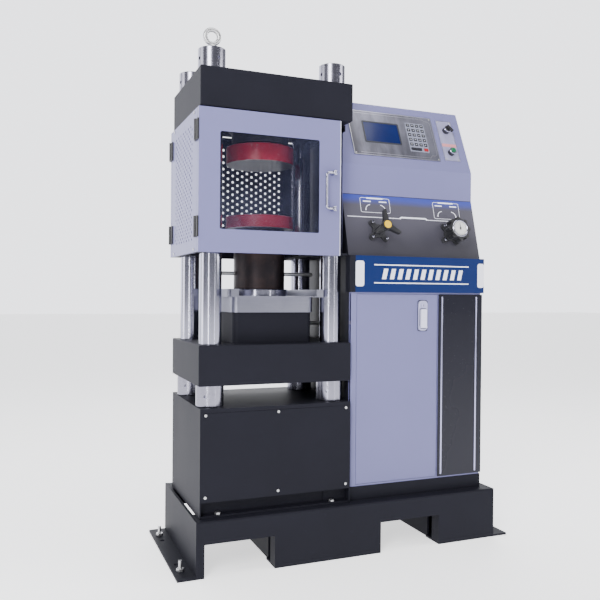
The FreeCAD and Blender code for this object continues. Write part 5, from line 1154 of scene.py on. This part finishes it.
class MACHINE_OT_console_detail(bpy.types.Operator):
    """Fits the console's rims, screws, display frame, keys and label strip"""
    bl_idname = "machine.console_detail"
    bl_label = "Console detail"

    def execute(self, context):
        def rims(bm):
            for x0, x1, s0, s1 in (DISPLAY, SWITCHES):
                path = rounded_path(x0 + 1.5, x1 - 1.5, s0 + 1.5, s1 - 1.5, 3)
                add_stroke(bm, on_console, path, 2.2, 2.8, 3.5, True)
            x0, x1, s0, s1 = DISPLAY
            add_stroke(bm, on_console, [(x0 + 30, s1 - 12), (x1 - 44, s1 - 12), (x1 - 36, s1 - 20),
                                        (x1 - 18, s1 - 20), (x1 - 10, s1 - 30), (x1 - 10, s0 + 34),
                                        (x1 - 18, s0 + 24), (x1 - 36, s0 + 24), (x1 - 44, s0 + 12),
                                        (x0 + 30, s0 + 12)], 1.3, 2.8, 3.3)

        trim("console_rims", "console_plates", "plate rim", rims)
        x0, x1, s0, s1 = SCREEN
        opening = rounded_path(x0 - 2, x1 + 2, s0 - 2, s1 + 2, 3)
        trim("display_frame", "lcd_display", "display frame",
             lambda bm: add_stroke(bm, on_console, opening, 6, 2.9, 4.0, True))

        places = [(on_console(x, s, 3.0), CONSOLE_OUT)
                  for box in (DISPLAY, SWITCHES) for x in (box[0] + 8, box[1] - 8)
                  for s in (box[2] + 8, box[3] - 8)]
        settle("console_screws", scatter(pan_screw(3.4, 1.8), places, "bright zinc"), "machine",
               "bright zinc", "zinc", 30.0)
        sheet = trim("keypad_film", "keypad", "keypad film",
                     lambda bm: add_slab(bm, on_console, *KEYPAD, 3.0, 4.0, 3))
        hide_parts("keypad")

        def key(bm):
            add_box(bm, (-7.5, -7.0, 0.0), (7.5, 7.0, 1.7), 0.7)

        def mark(bm):
            add_box(bm, (-3.2, -1.0, 1.6), (3.2, 1.0, 1.85), 0.1, 1)

        keys = [(on_console(320.5 + 21.667 * column, 117.2 + 23.2 * row, 3.4), CONSOLE_OUT)
                for column in range(4) for row in range(5)]
        settle("keys", scatter(to_mesh("key", key), keys, "key black"), "machine", "key black",
               "black_plastic")
        settle("key_marks", scatter(to_mesh("mark", mark), keys, "key print"), "machine",
               "key print", "dial")
        trim("wide_key", "dark_panel", "key black",
             lambda bm: add_slab(bm, on_console, *WIDE_KEY, 3.4, 5.1, 2))
        settle("red_key", lambda bm: add_slab(bm, on_console, *RED_KEY, 3.4, 5.1, 2), "machine",
               "red key", "platen_red")
        settle("label_strip", lambda bm: add_slab(bm, on_console, *LABEL, 3.0, 3.4, 1), "machine",
               "label strip", "dial")
        return {"FINISHED"}


class MACHINE_OT_switches(bpy.types.Operator):
    """Turns the switch barrels with their bright rings"""
    bl_idname = "machine.switches"
    bl_label = "Switches"

    def execute(self, context):
        top = BARREL_TOP
        low = [(5.05, 3.0), (15.0, 3.0), (15.0, top - 5), (5.05, top - 5)]
        turn("switch_barrels", "switch_bezels", "black plastic",
             *[(low, on_console(SWITCH_X, s), CONSOLE_OUT) for s in (SELECTOR_S, BUTTON_S)],
             count=64)

        def rings(bm):
            for s, inner in ((SELECTOR_S, 11.05), (BUTTON_S, 10.55)):
                ring = [(inner, top - 5), (15.0, top - 5), (15.0, top - 1), (14.0, top),
                        (inner + 0.6, top), (inner, top - 0.6)]
                add_turned(bm, ring, on_console(SWITCH_X, s), CONSOLE_OUT, 64)

        settle("switch_rings", rings, "machine", "hard chrome", "chrome", 35.0)
        return {"FINISHED"}


class MACHINE_OT_dial(bpy.types.Operator):
    """Makes the knob's white dial with its bright bezel, ticks and pointer"""
    bl_idname = "machine.dial"
    bl_label = "Knob dial"

    def execute(self, context):
        base = HANDLE_STAND - 6.0
        centre = on_valves(RIGHT_VALVE, VALVE_S)
        disc = [(0, base), (34.6, base), (34.6, base + 8), (0, base + 8)]
        turn("dial_face", "right_knob_dial", "dial white", (disc, centre, VALVE_OUT), count=72)
        ring = [(29.5, base + 7.8), (35.0, base + 7.8), (35.0, base + 9.0), (33.6, base + 10.0),
                (31.0, base + 10.0), (29.5, base + 8.6)]
        settle("dial_bezel", lambda bm: add_turned(bm, ring, centre, VALVE_OUT, 72), "right_valve",
               "hard chrome", "chrome", 35.0)

        tick = to_mesh("tick", lambda bm: add_box(bm, (-0.5, -2.0, 0.0), (0.5, 2.0, 0.2), 0.05, 1))
        ticks = []
        for a in [math.radians(9 * i) for i in range(40)]:
            out = Vector((math.cos(a), 0, 0)) + VALVE_UP * math.sin(a)
            basis = Matrix((VALVE_OUT.cross(out), out, VALVE_OUT)).transposed().to_4x4()
            spot = on_valves(RIGHT_VALVE + 26 * math.cos(a), VALVE_S + 26 * math.sin(a), base + 8)
            ticks.append(tick.copy())
            ticks[-1].transform(Matrix.Translation(spot * MM) @ basis)

        def pointer(bm):
            def face(x, s, out):
                return on_valves(RIGHT_VALVE + x, VALVE_S + s, base + 8 + out)
            add_outline(bm, face, [(-2.2, -8), (2.2, -8), (0.5, 21), (-0.5, 21)], 0.1, 0.7)
            hub = [(0, base + 8), (4, base + 8), (4, base + 9), (3, base + 9.6), (0, base + 9.6)]
            add_turned(bm, hub, centre, VALVE_OUT, 32)

        settle("dial_marks", merged(*ticks, to_mesh("pointer", pointer)), "right_valve",
               "dial ink", "black_plastic", 30.0)
        return {"FINISHED"}


class MACHINE_OT_mouldings(bpy.types.Operator):
    """Fits the dark panel's bright mouldings and the door lock's dark lines: painted shadow round
    the lever, a gasket with painted shadow round the body, and the key slot
    """
    bl_idname = "machine.mouldings"
    bl_label = "Mouldings"

    def execute(self, context):
        def covers(bm):
            for x in MOULDINGS_X:
                add_box(bm, (x - 1.5, -223.8, 261), (x + 5.5, -222.1, 967), 0.5)

        def on_lock(x, z, out):
            return Vector((x, LOCK_FACE - out, z))

        def gasket_slot_and_shadow_lines(bm):
            # Painted shadow: a black line in the gap round the lever, where shade falls.
            add_stroke(bm, on_lock, rounded_path(*LOCK_LEVER, 6), 2.4, 0, 0.25, True)
            # A rubber gasket round the lock body, partly painted shadow at its edge.
            add_stroke(bm, on_lock, rounded_path(*LOCK_BODY, 6), 3.0, -5, -4.2, True)
            add_box(bm, (301.0, -227.35, 927.5), (303.0, -226.9, 936.5), 0)

        settle("moulding_covers", covers, "machine", "bright strip", "zinc", 35.0)
        settle("lock_seams", gasket_slot_and_shadow_lines, "service_door", "black plastic", "black_plastic")
        return {"FINISHED"}


def pan_screw(radius, height):
    """A pan-head screw with a cross in its top, its axis up."""
    profile = [(0, -0.5), (radius, -0.5), (radius, height * 0.45), (radius * 0.8, height * 0.85),
               (radius * 0.45, height), (radius * 0.4, height * 0.55), (0, height * 0.5)]

    def build(bm):
        add_turned(bm, profile, (0, 0, 0), (0, 0, 1), 20)
        for x, y in ((radius * 0.62, radius * 0.1), (radius * 0.1, radius * 0.62)):
            add_box(bm, (-x, -y, height * 0.7), (x, y, height * 1.02), 0)

    return to_mesh("pan screw", build)


STEPS = (MACHINE_OT_stage, MACHINE_OT_frame_finish, MACHINE_OT_round_steel,
         MACHINE_OT_guard_finish, MACHINE_OT_cabinet_finish, MACHINE_OT_perforated_guard,
         MACHINE_OT_band_print, MACHINE_OT_valve_print, MACHINE_OT_console_detail,
         MACHINE_OT_switches, MACHINE_OT_dial, MACHINE_OT_mouldings)


class MACHINE_PT_panel(bpy.types.Panel):
    """The steps that dress the machine, in order"""
    bl_idname = "MACHINE_PT_panel"
    bl_label = "Compression Testing Machine"
    bl_space_type = "VIEW_3D"
    bl_region_type = "UI"
    bl_category = "Machine"

    def draw(self, context):
        for group in (context.scene.machine_stage, context.scene.machine_paint,
                      context.scene.machine_perforation):
            box = self.layout.box()
            for name in group.__annotations__:
                box.prop(group, name)
        for step in STEPS:
            self.layout.operator(step.bl_idname)


SETTINGS = {"machine_stage": StageSettings, "machine_paint": PaintSettings,
            "machine_perforation": PerforationSettings}


def register():
    for group in SETTINGS.values():
        bpy.utils.register_class(group)
    for name, group in SETTINGS.items():
        setattr(bpy.types.Scene, name, PointerProperty(type=group))
    for step in STEPS:
        bpy.utils.register_class(step)
    bpy.utils.register_class(MACHINE_PT_panel)


def unregister():
    bpy.utils.unregister_class(MACHINE_PT_panel)
    for step in reversed(STEPS):
        bpy.utils.unregister_class(step)
    for name in SETTINGS:
        delattr(bpy.types.Scene, name)
    for group in SETTINGS.values():
        bpy.utils.unregister_class(group)


def main():
    register()
    for step in STEPS:
        area, name = step.bl_idname.split(".")
        getattr(getattr(bpy.ops, area), name)()


if __name__ == "__main__":
    main()
